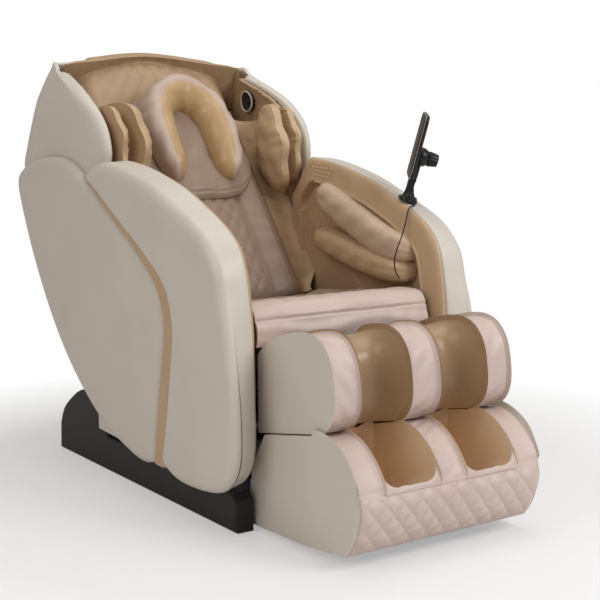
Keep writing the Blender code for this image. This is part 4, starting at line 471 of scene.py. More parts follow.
for name, side in SIDES:
    face = at_x(side * (LINER_BACK - reach), lining)
    shape = bmesh.new()
    rows = [[shape.verts.new(p) for p in row] for row in face[1:]]
    centre = shape.verts.new(face[0, 0])
    behind = [shape.verts.new(p) for p in at_x(side * LINER_BACK, outline)]
    hub = shape.verts.new((side * LINER_BACK, *heart))
    count = len(outline)
    for k in range(count):
        n = (k + 1) % count
        shape.faces.new((centre, rows[0][k], rows[0][n]))
        for low, high in zip(rows, rows[1:]):
            shape.faces.new((low[k], high[k], high[n], low[n]))
        shape.faces.new((rows[-1][k], behind[k], behind[n], rows[-1][n]))
    for k in range(count):
        shape.faces.new((behind[k], hub, behind[(k + 1) % count]))
    finish_piece(f"arm_liner_{name}_padding", shape, tan, "seat_unit", 0.3, 50.0)


# ---------------------------------------------------------------- forearm pads
# Two air pads on each arm's inner side close on the forearm: long covered bags, gathered at both
# ends and along their edges, where the leather puckers.

def stuffed_strip(run, half, height, seed):
    """Grid of a pad's (y, z) places and their reach: crowned, tapered and puckered at its edges."""
    path = spline(run, 96)
    u = np.linspace(-1.0, 1.0, 96)[:, None]
    v = sine_steps(44)[None, :]
    end_width, rim_height = 0.22, 0.012
    taper = np.sqrt(1 - abs(u) ** 4) * (1 - end_width) + end_width
    full = np.sqrt(np.clip(1 - abs(v) ** 3, 0, 1) * np.clip(1 - abs(u) ** 6, 0, 1))
    fold = np.sin(u * 31.0 + seed + 1.5 * np.sin(u * 9.0 + seed)) * abs(v) ** 3
    fold += 0.7 * np.sin(u * 17.0 + v * 2.5 + seed * 2.1) * (1 - abs(v) ** 2)
    fold += 0.5 * np.sin(v * 9.0 + seed * 3.0 + u * 3.0) * abs(u) ** 3
    piping = 0.003 * ridge(abs(v), 0.955, 0.014) * (abs(u) < 0.96)
    notch = 0.004 * ridge(abs(v), 0.9, 0.022)
    return (path[:, None, :] + left_of(path)[:, None, :] * (half * taper * v)[..., None],
            rim_height + height * full + 0.003 * fold * full ** 0.5 + piping - notch * full)


for name, side in SIDES:
    for level, run, half, height, seed, cover, slot in (
            ("upper", [(0.13, 0.783), (0.06, 0.748), (-0.06, 0.698), (-0.17, 0.655), (-0.285, 0.632)],
             0.048, 0.046, 1.0, beige, "rose_leather"),
            ("lower", [(0.14, 0.645), (0.05, 0.632), (-0.06, 0.608), (-0.17, 0.588), (-0.28, 0.575)],
             0.042, 0.056, 2.4, tan_soft, "tan_leather")):
        spread, depth = stuffed_strip(run, half, height, seed + side)
        shape = slab(side, PAD_BACK - depth, PAD_BACK, spread)
        finish_piece(f"forearm_pad_{level}_{name}_cover", shape, cover, "seat_unit", 0.8)


# ---------------------------------------------------------------- hood
# The back's outer shell: a moulded shell covered in ivory leather that wraps round the shoulders.
# Its wings end in a broad rounded band, its rim is rolled, and it leans in toward the top.

def upright(*points):
    """A run of the hood from its hidden floor, past the arm's rear slope, up to the rim."""
    return np.vstack([spline(points[:3], 8), spline(points[2:], 46)[1:]])


def past_arm(z):
    """0 up to the arm's height, 1 from 0.11 m above it."""
    return min(1.0, max(0.0, (z - 0.775) / 0.11))


def lean_in(points):
    """The wings lean toward the middle above shoulder height."""
    moved = np.array(points, float)
    moved[..., 0] *= 1 - 0.075 * ramp(moved[..., 2], 1.03, 0.1) ** 1.4
    return moved


hood_rear = upright((0.7, 0.62), (0.77, 0.705), (0.806, 0.775), (0.832, 0.843), (0.803, 0.905),
                    (0.75, 0.98), (0.679, 1.072), (0.64, 1.138))
hood_crease = upright((0.35, 0.62), (0.356, 0.7), (0.359, 0.775), (0.354, 0.85), (0.35, 0.928),
                      (0.364, 0.98), (0.426, 1.036), (0.498, 1.08), (0.575, 1.114))
hood_edge = upright((0.328, 0.62), (0.32, 0.7), (0.312, 0.775), (0.283, 0.818), (0.268, 0.86),
                    (0.268, 0.905), (0.288, 0.953), (0.326, 0.994), (0.386, 1.034), (0.46, 1.07),
                    (0.56, 1.107))
hood_crown = upright((0.722, 0.62), (0.793, 0.705), (0.831, 0.775), (0.86, 0.85), (0.846, 0.94),
                     (0.812, 1.04), (0.76, 1.12), (0.7, 1.17))
HOOD_HALF = 0.357       # half-width of the hood's outer face


def hood_wall(inward):
    """The hood's surface at a depth inward of its outer face, from crease to crease, row by row."""
    x = HOOD_HALF - inward
    rows = []
    for p, q, m in zip(hood_crease, hood_rear, hood_crown):
        c = 0.07 - 0.035 * min(1.0, max(0.0, (q[1] - 0.9) / 0.2))
        half = [(x, p[0], p[1]), (x, (p[0] + q[0] - c) / 2, (p[1] + q[1]) / 2), (x, q[0] - c, q[1]),
                (x - 0.293 * c + inward * 0.3, q[0] - 0.293 * c - inward * 0.7, q[1]),
                (HOOD_HALF - c, q[0] - inward, q[1])]
        for share, place in ((0.45, 0.19), (0.82, 0.095), (1.0, 0.0)):
            y, z = q * (1 - share) + m * share
            half.append((place, y - inward, z))
        rows.append(spline(half + [(-x, y, z) for x, y, z in half[-2::-1]], 200))
    return np.array(rows)


def wing_band(points, count):
    """Columns along the wing's front band for both sides, from per-row control points."""
    left = np.array([spline(row, count) for row in points])
    right = left[:, ::-1].copy()
    right[..., 0] *= -1
    return left, right


outer, inner = hood_wall(0.0), hood_wall(0.014)
rounding, lining_edge = [], []
for (y, z), first, second in zip(hood_edge, outer, inner):
    k = past_arm(z)
    ahead = first[0][1] - y + 0.007 * k
    nose = first[0][1] - ahead
    back_z = second[0][2]
    rounding.append([(0.3295 - 0.015 * k, y + 0.002 + 0.018 * k, z),
                     (0.333 - 0.014 * k, nose + 0.006 * k, z + 0.001 * k),
                     (0.3395 - 0.0125 * k, nose, z + 0.002 * k),
                     (0.348 - 0.011 * k, nose + 0.06 * ahead, z + 0.003 * k),
                     (0.3535 - 0.005 * k, nose + 0.29 * ahead, z + 0.002 * k),
                     (0.3562 - 0.001 * k, nose + 0.66 * ahead, (z + first[0][2]) / 2), tuple(first[0])])
    deep = min(second[0][1] + 0.012, (second[0][1] + second[3][1]) / 2 + 0.004)
    lining_edge.append([(0.329 - 0.015 * k, y + 0.0015 + 0.018 * k, z),
                        (0.329 - 0.004 * k, (y + deep) / 2, (z + back_z) / 2), (0.333, deep, back_z)])
outer_left, outer_right = wing_band(rounding, 26)
inner_left, inner_right = wing_band(lining_edge, 26)
shell_out = lean_in(np.concatenate([outer_left[:, :-1], outer, outer_right[:, 1:]], axis=1))
shell_in = lean_in(np.concatenate([inner_left, inner[:, 1:-1], inner_right], axis=1))
growth = shell_out[-1] - shell_out[-3]
growth /= np.linalg.norm(growth, axis=1, keepdims=True)
growth = growth * 0.3 + np.array((0.0, 0.2, 0.7))
growth *= ramp(from_ends(len(growth)), 0, 24)[:, None]
roll = [shell_out[-1] * (1 - t) + shell_in[-1] * t + growth * 0.006 * math.sin(math.pi * t)
        for t in (0.1, 0.28, 0.5, 0.72, 0.9)]
shape = closed_sheet(np.vstack([shell_out, roll]), np.vstack([shell_in, np.repeat(shell_in[-1:], 5, axis=0)]))
finish_piece("hood_shell_cover", shape, ivory, "backrest", angle=60.0)

# The tan lining: gathered into upright wrinkles behind the shoulders, quilted in diamonds beside
# the pillow, and folded over the rim between the wings.
lining, core = hood_wall(0.05), hood_wall(0.034)
starts, core_starts = [], []
for (y, z), first in zip(hood_edge, lining):
    k = past_arm(z)
    y += 0.016 * k
    back_y, back_z = first[0][1:]
    starts.append([(0.3275 - 0.013 * k, y + 0.01, z), (0.3225 - 0.013 * k, y + 0.0075, z),
                   (0.315 - 0.012 * k, y + 0.012, z), (0.308 - 0.008 * k, y + 0.026, z),
                   (0.3062, (y + back_y) / 2 + 0.02, (z + back_z) / 2), (0.3065, back_y + 0.03, back_z)])
    core_starts.append([(0.3272 - 0.013 * k, y + 0.014, z), (0.324 - 0.01 * k, y + 0.016, z),
                        (0.3232, back_y + 0.028, back_z)])
BAND_COLS = 24
left, right = wing_band(starts, BAND_COLS)
core_left, core_right = wing_band(core_starts, BAND_COLS)
lining = np.concatenate([left, lining[:, 8:-8], right], axis=1)
core = np.concatenate([core_left, core[:, 8:-8], core_right], axis=1)
panel_line = np.array([(0.6, 0.27), (0.7, 0.345), (0.9, 0.494), (1.0, 0.569), (1.06, 0.6), (1.1, 0.628),
                       (1.14, 0.662), (1.165, 0.688)])      # (z, y) of the panel behind the head pad
for grid, behind in ((lining, -0.009), (core, -0.005)):
    corner = ramp(abs(grid[..., 0]), 0.205, 0.1) ** 2 * 0.16
    limit = np.interp(grid[..., 2], panel_line[:, 0], panel_line[:, 1]) + corner + behind
    grid[..., 1] = np.minimum(grid[..., 1], limit)
x, y, z = lining[..., 0], lining[..., 1], lining[..., 2]
way = np.stack([0.0 - x, 0.42 - y], axis=-1)
way /= np.linalg.norm(way, axis=-1, keepdims=True)
run = np.concatenate([np.zeros((x.shape[0], 1)),
                      np.cumsum(np.linalg.norm(np.diff(lining, axis=1), axis=2), axis=1)], axis=1)
run -= run[:, -1:] / 2
aside = ramp(abs(run), 0.24, 0.06) * ramp(abs(run), 0.74, -0.05)
wrinkle = np.sin(run * 150.0 + 2.0 * np.sin(z * 24.0) + 1.2 * np.sin(run * 37.0)) * 0.0026
wrinkle += np.sin(run * 71.0 - z * 38.0) * 0.0018
quilt = 0.0042 * (1 - aside) * diamonds(run, z * 0.8, 62.0, 0.55)
lift = aside * wrinkle + quilt * ramp(abs(run), 0.72, -0.03)
lining[..., :2] += way * lift[..., None]
lining, core = lean_in(lining), lean_in(core)
rim_in = lining[-1]
rim_out = lean_in(np.vstack([[outer[-1, 0]] * BAND_COLS, outer[-1, 8:-8], [outer[-1, -1]] * BAND_COLS]))
over = smooth(ramp(abs(rim_in[:, :1]), 0.215, -0.03))
inboard = ramp(abs(rim_in[:, :1]), 0.285, -0.03)
fold_face, fold_back = [], []
for share, high, under in ((0.25, 0.009, 0.004), (0.55, 0.0125, 0.008), (0.8, 0.0115, 0.007),
                           (1.0, 0.0075, 0.003), (1.06, 0.001, -0.001), (1.07, -0.01, -0.012),
                           (1.06, -0.022, -0.022)):
    tuck = min(share, 1.0) * 0.3 * inboard
    crown = (0, 0, 0.0055 * math.sin(math.pi * min(1.0, share * 0.9)))
    rest = rim_in * (1 - tuck) + rim_out * tuck + crown * inboard
    fold_face.append(rest * (1 - over) + over * (rim_in * (1 - share) + rim_out * share + (0, 0, high)))
    inset = min(share, 1.0) - 0.02
    fold_back.append((rest - (0, 0, 0.003)) * (1 - over)
                     + over * (rim_in * (1 - inset) + rim_out * inset + (0, 0, under)))
FIRST_ROW = 5           # the rows below it lie behind the arms
shape = closed_sheet(np.vstack([lining[FIRST_ROW:], fold_face]), np.vstack([core[FIRST_ROW:], fold_back]))
finish_piece("hood_liner_padding", shape, tan_liner, "backrest", 0.4)


# ---------------------------------------------------------------- loudspeakers
# A black cone behind a fine grille in each wing, inside a pale moulded ring.

grille_black, tree, shader = new_material("speaker grille", {"Base Color": (0.012, 0.012, 0.013, 1.0),
                                                             "Roughness": 0.55})
place = add_node(tree, "ShaderNodeTexCoord")
holes = add_node(tree, "ShaderNodeTexVoronoi", {"Scale": 520.0})
dents = add_node(tree, "ShaderNodeBump", {"Strength": 0.8, "Distance": 0.0006})
wire(tree, (place, "Object", holes, "Vector"), (holes, "Distance", dents, "Height"),
     (dents, "Normal", shader, "Normal"))

# (distance along the speaker's axis, radius, material)
ring_profile = [(0.0, 0.0285, 0), (0.028, 0.0285, 1), (0.0305, 0.029, 1), (0.0318, 0.0305, 1),
                (0.0312, 0.0325, 1), (0.029, 0.0335, 1), (0.0265, 0.0325, 1), (0.0255, 0.03, 0),
                (0.0275, 0.027, 0), (0.0285, 0.024, 0), (0.027, 0.02, 0), (0.024, 0.015, 0),
                (0.0235, 0.011, 0), (0.0262, 0.009, 0), (0.0275, 0.005, 0), (0.028, 0.001, 0)]
for name, side in SIDES:
    rings = [[lean_in(np.array((side * (0.322 - along), 0.549 + radius * math.cos(math.tau * k / 64),
                                1.036 + radius * math.sin(math.tau * k / 64)))) for k in range(64)]
             for along, radius, tone in ring_profile]
    finish_piece(f"speaker_{name}_grille", loft(rings, tone=[tone for along, radius, tone in ring_profile]),
                 [grille_black, ivory], "backrest")


# ---------------------------------------------------------------- back cushion, head pad and pillow
# The back rest cushion has a diamond-quilted middle between two seams and plain side bolsters. A
# head pad hangs over it, and an arched pillow with two hanging legs lies on the head pad.

BACK_SLOPE = math.radians(53.0)
PANEL_DEPTH = -0.0088   # the upper back panel's face, which the head pad lies on


def on_back(x, along, depth):
    """Points at a distance up the back's slope and a depth behind its front face."""
    return sheet(x, 0.115 + along * math.cos(BACK_SLOPE) + depth * math.sin(BACK_SLOPE),
                 0.49 + along * math.sin(BACK_SLOPE) - depth * math.cos(BACK_SLOPE))


u = cosine_steps(110)[:, None]
v = sine_steps(120)[None, :]
edge = edge_share(u, v, 14, 9)
seam = 0.01 * ridge(abs(v), 0.5, 0.03)
belly = 0.007 * np.cos(math.pi * v / 1.04) * (abs(v) < 0.5)
bolster = 0.011 * ridge(abs(v), 0.76, 0.15)
across, along = v * 0.22, u * 0.66
quilt = 0.005 * (diamonds(across, along * 0.72, 74.0) - 0.5) * ramp(abs(v), 0.47, -0.05)
gathers = 0.0022 * np.sin(along * 88.0 + 2 * np.sin(along * 21.0 + v * 2)) * ridge(abs(v), 0.72, 0.2)
drop = seam + 0.022 * edge - belly - bolster - (quilt + gathers) * (1 - edge)
x = 0.22 * v * (1 - 0.01 * np.sin(math.pi * u))
face = on_back(x, along, drop)
seam_runs["backrest"] += [face[8:-8, j] for j in (25, 27, 92, 94)]
finish_piece("back_cushion_cover", closed_sheet(face, on_back(x, along, 0.05)), rose_brown, "backrest",
             0.7)

u = cosine_steps(90)[:, None]
v = sine_steps(84)[None, :]
along = 0.322 + 0.075 * abs(v) ** 4 * (1 - u) + 0.345 * u
half = (0.2 - 0.07 * u ** 1.5) * (0.88 + 0.12 * np.minimum(1.0, u * 5))
edge = edge_share(u, v, 10, 10)
ripple = 0.0018 * np.sin(v * 13.0 + 3.0 * np.sin(along * 20.0)) + 0.0014 * np.sin(along * 60.0 + v * 3.0)
hem = 0.004 * ridge(edge_share(u, v, 1, 1), 0.9, 0.018)
crown = 0.013 + 0.006 * np.cos(math.pi * v / 2) + ripple
depth = PANEL_DEPTH - 0.004 - crown * (1 - edge) + hem * (1 - edge)
shape = closed_sheet(on_back(half * v, along, depth), on_back(half * v, along, PANEL_DEPTH))
finish_piece("head_pad_cover", shape, rose_brown, "backrest", 0.6)

leg = [(-0.088, 0.372), (-0.103, 0.465), (-0.103, 0.56), (-0.077, 0.637)]
arch = spline(leg + [(0.0, 0.682)] + [(-x, along) for x, along in leg[::-1]], 150)
rings = []
for i, ((x, s), left) in enumerate(zip(arch, left_of(arch))):
    u = abs(2 * i / (len(arch) - 1) - 1)
    size = max(0.02, 1 - u ** 14) ** 0.5 * (1 - 0.3 * u ** 4)
    one = []
    for turn in (math.tau * k / 56 for k in range(56)):
        share = math.cos(turn)
        above = math.sin(turn) > 0
        outside = share > 0
        fold = 0.0024 * math.sin(i * 0.55 + 2.0 * math.sin(i * 0.13)) * abs(share) ** 2
        fold += 0.0018 * math.sin(i * 0.31 + share * 4.0)
        crease = 0.0035 * math.exp(-((share + 0.02) / 0.07) ** 2) * above
        out = (0.072 * size) * max(0.0, math.sin(turn)) ** (0.7 if outside else 0.95) - crease * size
        out += fold * size * above
        wide = math.copysign(abs(share) ** (0.8 if outside else 1.0), share)
        reach = ((0.041 if outside else 0.06) + 0.6 * fold - 0.4 * crease) * size * wide
        one.append(on_back(x + left[0] * reach, s + left[1] * reach, PANEL_DEPTH - 0.022 - max(0.0, out)))
    rings.append(one)
tones = [1 if math.cos(math.tau * k / 56 + math.pi / 56) < -0.02 else 0 for k in range(56)]
finish_piece("neck_pillow_cover", loft(rings, tone=[tones] * len(arch)), [rose_pillow, golden], "backrest",
             0.9)

# Tan side skirts close the gaps between the back cushion and the arms, behind the cushion's edge.
u = np.linspace(0.0, 1.0, 90)[:, None]
v = np.linspace(0.0, 1.0, 26)[None, :]
along = 0.015 + 0.615 * u
sag = 0.012 * np.sin(math.pi * v) + 0.0022 * np.sin(along * 105.0 + 3.0 * v) * np.sin(math.pi * v)
reach = 0.218 + (0.038 + 0.0385 * ramp(along, 0.03, 0.05) + 0.012 * ramp(along, 0.2, 0.05)) * v
for name, side in SIDES:
    face, back = (on_back(side * reach, along, depth + sag + 0.004 * v) for depth in (0.02, 0.03))
    finish_piece(f"back_skirt_{name}", closed_sheet(face, back), tan_soft, "backrest", 0.2,
                 node="")


# ---------------------------------------------------------------- shoulder pads
# Two leaf-shaped air bags on each wing's inner wall, one over the other, each with a piped edge.

u = np.linspace(-1.0, 1.0, 96)[:, None]
v = sine_steps(44)[None, :]
taper = np.clip(1 - abs(u) ** 2.0, 0, 1) ** 0.6 * 0.97 + 0.03
full = np.sqrt(np.clip(1 - abs(v) ** 2.4, 0, 1) * np.clip(1 - abs(u) ** 3, 0, 1))
piping = 0.003 * ridge(abs(v), 0.955, 0.012) * (abs(u) < 0.97)
notch = 0.003 * ridge(abs(v), 0.925, 0.016)
for name, side in SIDES:
    shape = bmesh.new()
    for low, thick, line, wide, seed, lean in (
            (0.306, 0.026, [(0.375, 1.01), (0.352, 0.962), (0.338, 0.905), (0.332, 0.86), (0.332, 0.825),
                             (0.342, 0.79)], 0.088, 2.9, 0.014),
            (0.276, 0.046, [(0.4, 1.014), (0.365, 0.965), (0.337, 0.905), (0.324, 0.85), (0.318, 0.805),
                             (0.318, 0.765)], 0.098, 0.7, 0.04)):
        run = spline(line, 96)
        fold = np.sin(u * 25.0 + seed + 1.6 * np.sin(u * 8.0)) * abs(v) ** 2
        fold += 0.8 * np.sin(u * 11.0 + v * 4.0 + seed) + 0.5 * np.sin(v * 9.0 + u * 5.0)
        ruffle = 1 + 0.075 * np.sin(u * 9.0 + seed) * abs(v) ** 4
        spread = run[:, None, :] + left_of(run)[:, None, :] * (wide * taper * v * ruffle)[..., None]
        depth = 0.01 + (thick - 0.01) * full + 0.0026 * fold * full ** 0.5 - notch * full + piping
        swing = lean * (1 - v) / 2 * taper
        closed_sheet(lean_in(at_x(side * (low - depth - swing), spread)),
                     lean_in(at_x(side * (low - 0.002 * full - swing), spread)), shape)
    finish_piece(f"shoulder_pad_{name}_cover", shape, tan_soft, "backrest", 0.8)


# ---------------------------------------------------------------- seat
# The seat pad, and the apron that hangs over its front edge with the folds that legs press in.

def seat_top(y):
    return 0.535 - 0.107 * (y + 0.325)


u = cosine_steps(90)[:, None]
v = sine_steps(110)[None, :]
edge = edge_share(u, v, 7, 9)
channel = 0.007 * (ridge(u, 0.33, 0.022) + ridge(u, 0.66, 0.022))
bolster = 0.012 * ridge(abs(v), 0.8, 0.16)
y = -0.325 + 0.408 * u
fold = 0.0018 * np.sin(v * 21.0 + 3 * np.sin(u * 7.0)) * np.sin(u * 9.0 + 1.0)
top = seat_top(y) + bolster - channel * (1 - edge) - 0.026 * edge + fold * (1 - edge)
x = 0.2545 * v * (1 - 0.004 * np.cos(math.pi * u) ** 2 * (1 - abs(2 * u - 1)))
low_y = y - 0.028 * u ** 8
shape = closed_sheet(sheet(x, y - 0.02 * (u > 0.9) * abs(2 * u - 1) ** 9, top),
                     sheet(x, low_y, seat_top(np.minimum(low_y, 0.045)) - 0.0997))
finish_piece("seat_cushion_cover", shape, rose_brown, "seat_unit", 0.7)

path = spline([(-0.262, 0.535), (-0.31, 0.5356), (-0.338, 0.527), (-0.352, 0.502), (-0.36, 0.472),
               (-0.357, 0.444)], 80)
out = -left_of(path)
u = np.linspace(0.0, 1.0, 80)[:, None]
v = np.linspace(-1.0, 1.0, 150)[None, :]
fold = 0.0022 * np.sin(v * 7.0 + 3.0 * u) * u + 0.0008 * np.sin(v * 23.0 + 2.0 * np.sin(u * 5.0 + v * 3.0))
fold += 0.0018 * np.sin(u * 26.0 + 1.4 * np.sin(v * 5.0)) * u
thick = 0.0075 + fold - 0.004 * abs(v) ** 14 - 0.0034 * ridge(u, 0.62, 0.016)
thick = thick * np.minimum(1.0, 0.35 + 6.0 * (1 - u)) * np.minimum(1.0, 0.3 + 9.0 * u)
face = sheet(0.264 * v, path[:, :1] + out[:, :1] * thick, path[:, 1:] + out[:, 1:] * thick)
seam_runs["seat_unit"] += [face[46, 4:-4], face[53, 4:-4]]
shape = closed_sheet(face, sheet(0.264 * v, path[:, :1], path[:, 1:]))
finish_piece("seat_flap_cover", shape, rose, "seat_unit", 0.3)


# ---------------------------------------------------------------- calf rest
# Three padded walls with two channels between them. The outer walls are rose in front, ivory on
# their outer side and tan toward the channel, and each bulges between its seams.

LEG_SLOPE = math.radians(10.6)
SPLIT = 0.2155          # distance down the leg at which the foot section begins
CALF_END = SPLIT - 0.0015


def leg_at(down, ahead):
    """Place (y, z) at a distance down the leg's slope from the calf hinge and in front of it."""
    return (-0.392 - down * math.sin(LEG_SLOPE) - ahead * math.cos(LEG_SLOPE),
            0.462 - down * math.cos(LEG_SLOPE) + ahead * math.sin(LEG_SLOPE))


def swell(run, fade):
    """The left normals of a (y, z) run, shorter over some points at both ends."""
    return left_of(run) * ramp(from_ends(len(run)), 0, fade)[:, None]


def padded_wall(front, rear, low, high, seams, side_tones):
    """Rings and tones of a wall whose front outline swells between its two sides."""
    rings, tones = [], []
    along = np.arange(len(front)) / len(front)
    for share in cosine_steps(44):
        round_off = (1 - (1 - min(1.0, min(share, 1 - share) / 0.09)) ** 2.2) ** 0.5
        amount = -0.008 * (1 - round_off) + 0.0045 * math.sin(math.pi * share) ** 0.7
        for seam in seams:
            amount -= 0.0028 * math.exp(-((share - seam) / 0.014) ** 2)
        fold = 0.0013 * np.sin(along * 47.0 + share * 9.0) * math.sin(math.pi * share)
        swollen = front + swell(front, 6) * (amount + fold)[:, None]
        rings.append(at_x(low + (high - low) * share, np.vstack([swollen, rear])))
        tones.append(side_tones[0] if share < 0.006 else side_tones[1] if share > 0.994 else 0)
    return rings, tones


def cover_wall(name, rings, tones, materials, body, seam_rings, first, last):
    """Finish a padded wall and note where its seams run."""
    seam_runs[body] += [rings[k][first:last] for k in seam_rings]
    finish_piece(name, loft(rings, tone=tones), materials, body, 0.7, 50.0)


rear_low = (-0.392 + 0.388) / math.cos(LEG_SLOPE) - CALF_END * math.tan(LEG_SLOPE)
finish = leg_at(CALF_END, 0.184)
low_rear = leg_at(CALF_END, rear_low - 0.022)
calf_top = [(-0.388, 0.452), (-0.45, 0.477), (-0.495, 0.49), (-0.54, 0.4985), (-0.58, 0.5), (-0.616, 0.488),
            (-0.646, 0.455), (-0.662, 0.396), (-0.662, 0.345), (-0.648, 0.316), finish]
front = spline(calf_top, 90)
rear = np.vstack([even([finish, low_rear], 24)[1:],
                  even([low_rear, (-0.366, 0.43), calf_top[0]], 20)[1:-1]])
for name, side in SIDES:
    rings, tones = padded_wall(front, rear, side * 0.188, side * 0.265, (0.08, 0.94), (2, 1))
    cover_wall(f"calf_wall_{name}_cover", rings, tones, [rose, ivory, tan_glossy], "calf_section",
               (11, 36), 4, 88)

top = leg_at(0.004, 0.0603)
low = leg_at(CALF_END, 0.0603)
front = spline([top] + [p for p in calf_top[1:] if p[0] < top[0] - 0.01], 90)
rear = np.vstack([even([finish, low], 16)[1:], even([low, top], 20)[1:-1]])
rings, tones = padded_wall(front, rear, -0.044, 0.044, (0.08, 0.92), (1, 1))
cover_wall("calf_wall_centre_cover", rings, tones, [rose, tan_glossy], "calf_section", (11, 32), 4, 88)

# The channels: smooth troughs that rise along the walls almost to their front edge
edge_run = spline([top, (-0.495, 0.486), (-0.54, 0.4945), (-0.58, 0.495), (-0.612, 0.484), (-0.64, 0.453),
                   (-0.655, 0.396), (-0.655, 0.345), (-0.64, 0.318), (-0.612, 0.288)], 80)
floor_run = spline([top, (-0.492, 0.474), (-0.528, 0.467), (-0.556, 0.443), (-0.568, 0.395), (-0.568, 0.345),
                    (-0.56, 0.305), (-0.546, 0.276)], 80)
w = sine_steps(60)[None, :] * 0.5 + 0.5
lie = between(floor_run, edge_run, abs(2 * w - 1) ** 3.4)
wave = 0.002 * np.sin(np.arange(80)[:, None] * 0.16 + 2.0 * np.sin(w * 5.0)) * np.sin(math.pi * w)
deep_y, deep_z = leg_at(np.linspace(0.008, CALF_END - 0.001, 80)[:, None], 0.056)
shape = bmesh.new()
for side in (-1, 1):
    x = side * (0.0436 + (0.1888 - 0.0436) * w)
    closed_sheet(sheet(x, lie[..., 0] - wave, lie[..., 1]), sheet(x, deep_y, deep_z), shape)
finish_piece("calf_trough_lining", shape, tan_glossy, "calf_section", 0.5)


# ---------------------------------------------------------------- foot section
# The foot walls carry on below the calf walls with a rounded crest, over a diamond-quilted toe
# panel. Between them a lined well for each foot is creased where heel cup and sole meet.

behind = leg_at(SPLIT + 0.0015, -0.028)
lid = even([behind, leg_at(SPLIT + 0.0015, 0.165)], 24)
crest = [tuple(lid[-1]), (-0.628, 0.284), (-0.662, 0.2775), (-0.694, 0.263), (-0.724, 0.24), (-0.748, 0.212),
         (-0.763, 0.19), (-0.768, 0.172)]
toe_line = [(-0.768, 0.172), (-0.774, 0.15), (-0.77, 0.12), (-0.752, 0.07), (-0.726, 0.034)]
top = spline(crest, 60)
toe = spline(toe_line, 36)[1:]
below = np.vstack([even([(-0.726, 0.034), (-0.56, 0.018), (-0.332, 0.012)], 24)[1:],
                   even([(-0.332, 0.012), (-0.334, 0.07), (-0.352, 0.16), behind], 24)[1:-1]])
notch = even([(-0.7347, 0.1723), (-0.6977, 0.0357)], 36)[1:]
SIDE_START = 0.268     # x where the rose front ends and the ivory side begins
for name, side in SIDES:
    rings, tones = [], []
    for s in cosine_steps(40):
        amount = -0.007 * (1 - min(1, s / 0.09)) ** 2 + 0.0045 * math.sin(math.pi * s) ** 0.7
        amount -= 0.0026 * math.exp(-((s - 0.09) / 0.014) ** 2)
        crest_run = top + swell(top, 3) * amount
        crest_run[:, 0] += 0.0035 * ramp(np.arange(60), 48, 11)
        rings.append(at_x(side * (0.1962 + 0.0716 * s), np.vstack([lid[:-1], crest_run, notch, below])))
        tones.append(2 if s < 0.006 else 0)
    for x, amount in ((0.268, -0.0022), (0.2683, -0.0012), (0.2692, -0.0006), (0.2702, -0.0012),
                      (0.2712, -0.003), (0.272, -0.006), (0.2725, -0.0095), (0.2727, -0.0135)):
        crest_run = top + swell(top, 3) * amount
        inset = 0.005 + 2.4 * (x - SIDE_START)
        crest_run[:, 0] += inset * ramp(np.arange(60), 34, 25)
        rings.append(at_x(side * x, np.vstack([lid[:-1], crest_run, toe + np.array((inset, 0.0)), below])))
        tones.append(1)
    # The wall's tan inner face takes the wells' painted lighter tan.
    cover_wall(f"foot_wall_{name}_cover", rings, tones, [rose, ivory, well_tan_painted_light], "foot_section",
               (11, 34), 24, 82)

u = np.linspace(0.0, 1.0, 90)[:, None]
v = np.linspace(-1.0, 1.0, 220)[None, :]
face_run = spline(toe_line, 90)
edge = edge_share(u, v, 12, 40)
wide = v * 0.2674
puff = diamonds(wide, (u - 0.5) * 0.145 * 0.95, 62.0)
lift = (0.0062 * puff - 0.003) * (1 - edge) - (0.002 + 0.004 * np.maximum(u > 0.5, abs(v) ** 40)) * edge
rear_run = even([(-0.735, 0.172), (-0.698, 0.036)], 90)
shape = closed_sheet(sheet(wide, face_run[:, :1] - lift, face_run[:, 1:]),
                     sheet(wide, rear_run[:, :1], rear_run[:, 1:]))
finish_piece("toe_panel_cover", shape, rose, "foot_section", 0.5)

# Each well's lining runs from the heel cup over the sole to a lip, whose height follows a round
# corner at both walls; a plain rose strip covers the lip's front.
crest_y, crest_z = top[::-1].T
CORNER = 0.04          # radius of the lip's corners
t = np.linspace(0, 1, 90)


def crest_at(z):
    return float(np.interp(z, crest_z, crest_y))


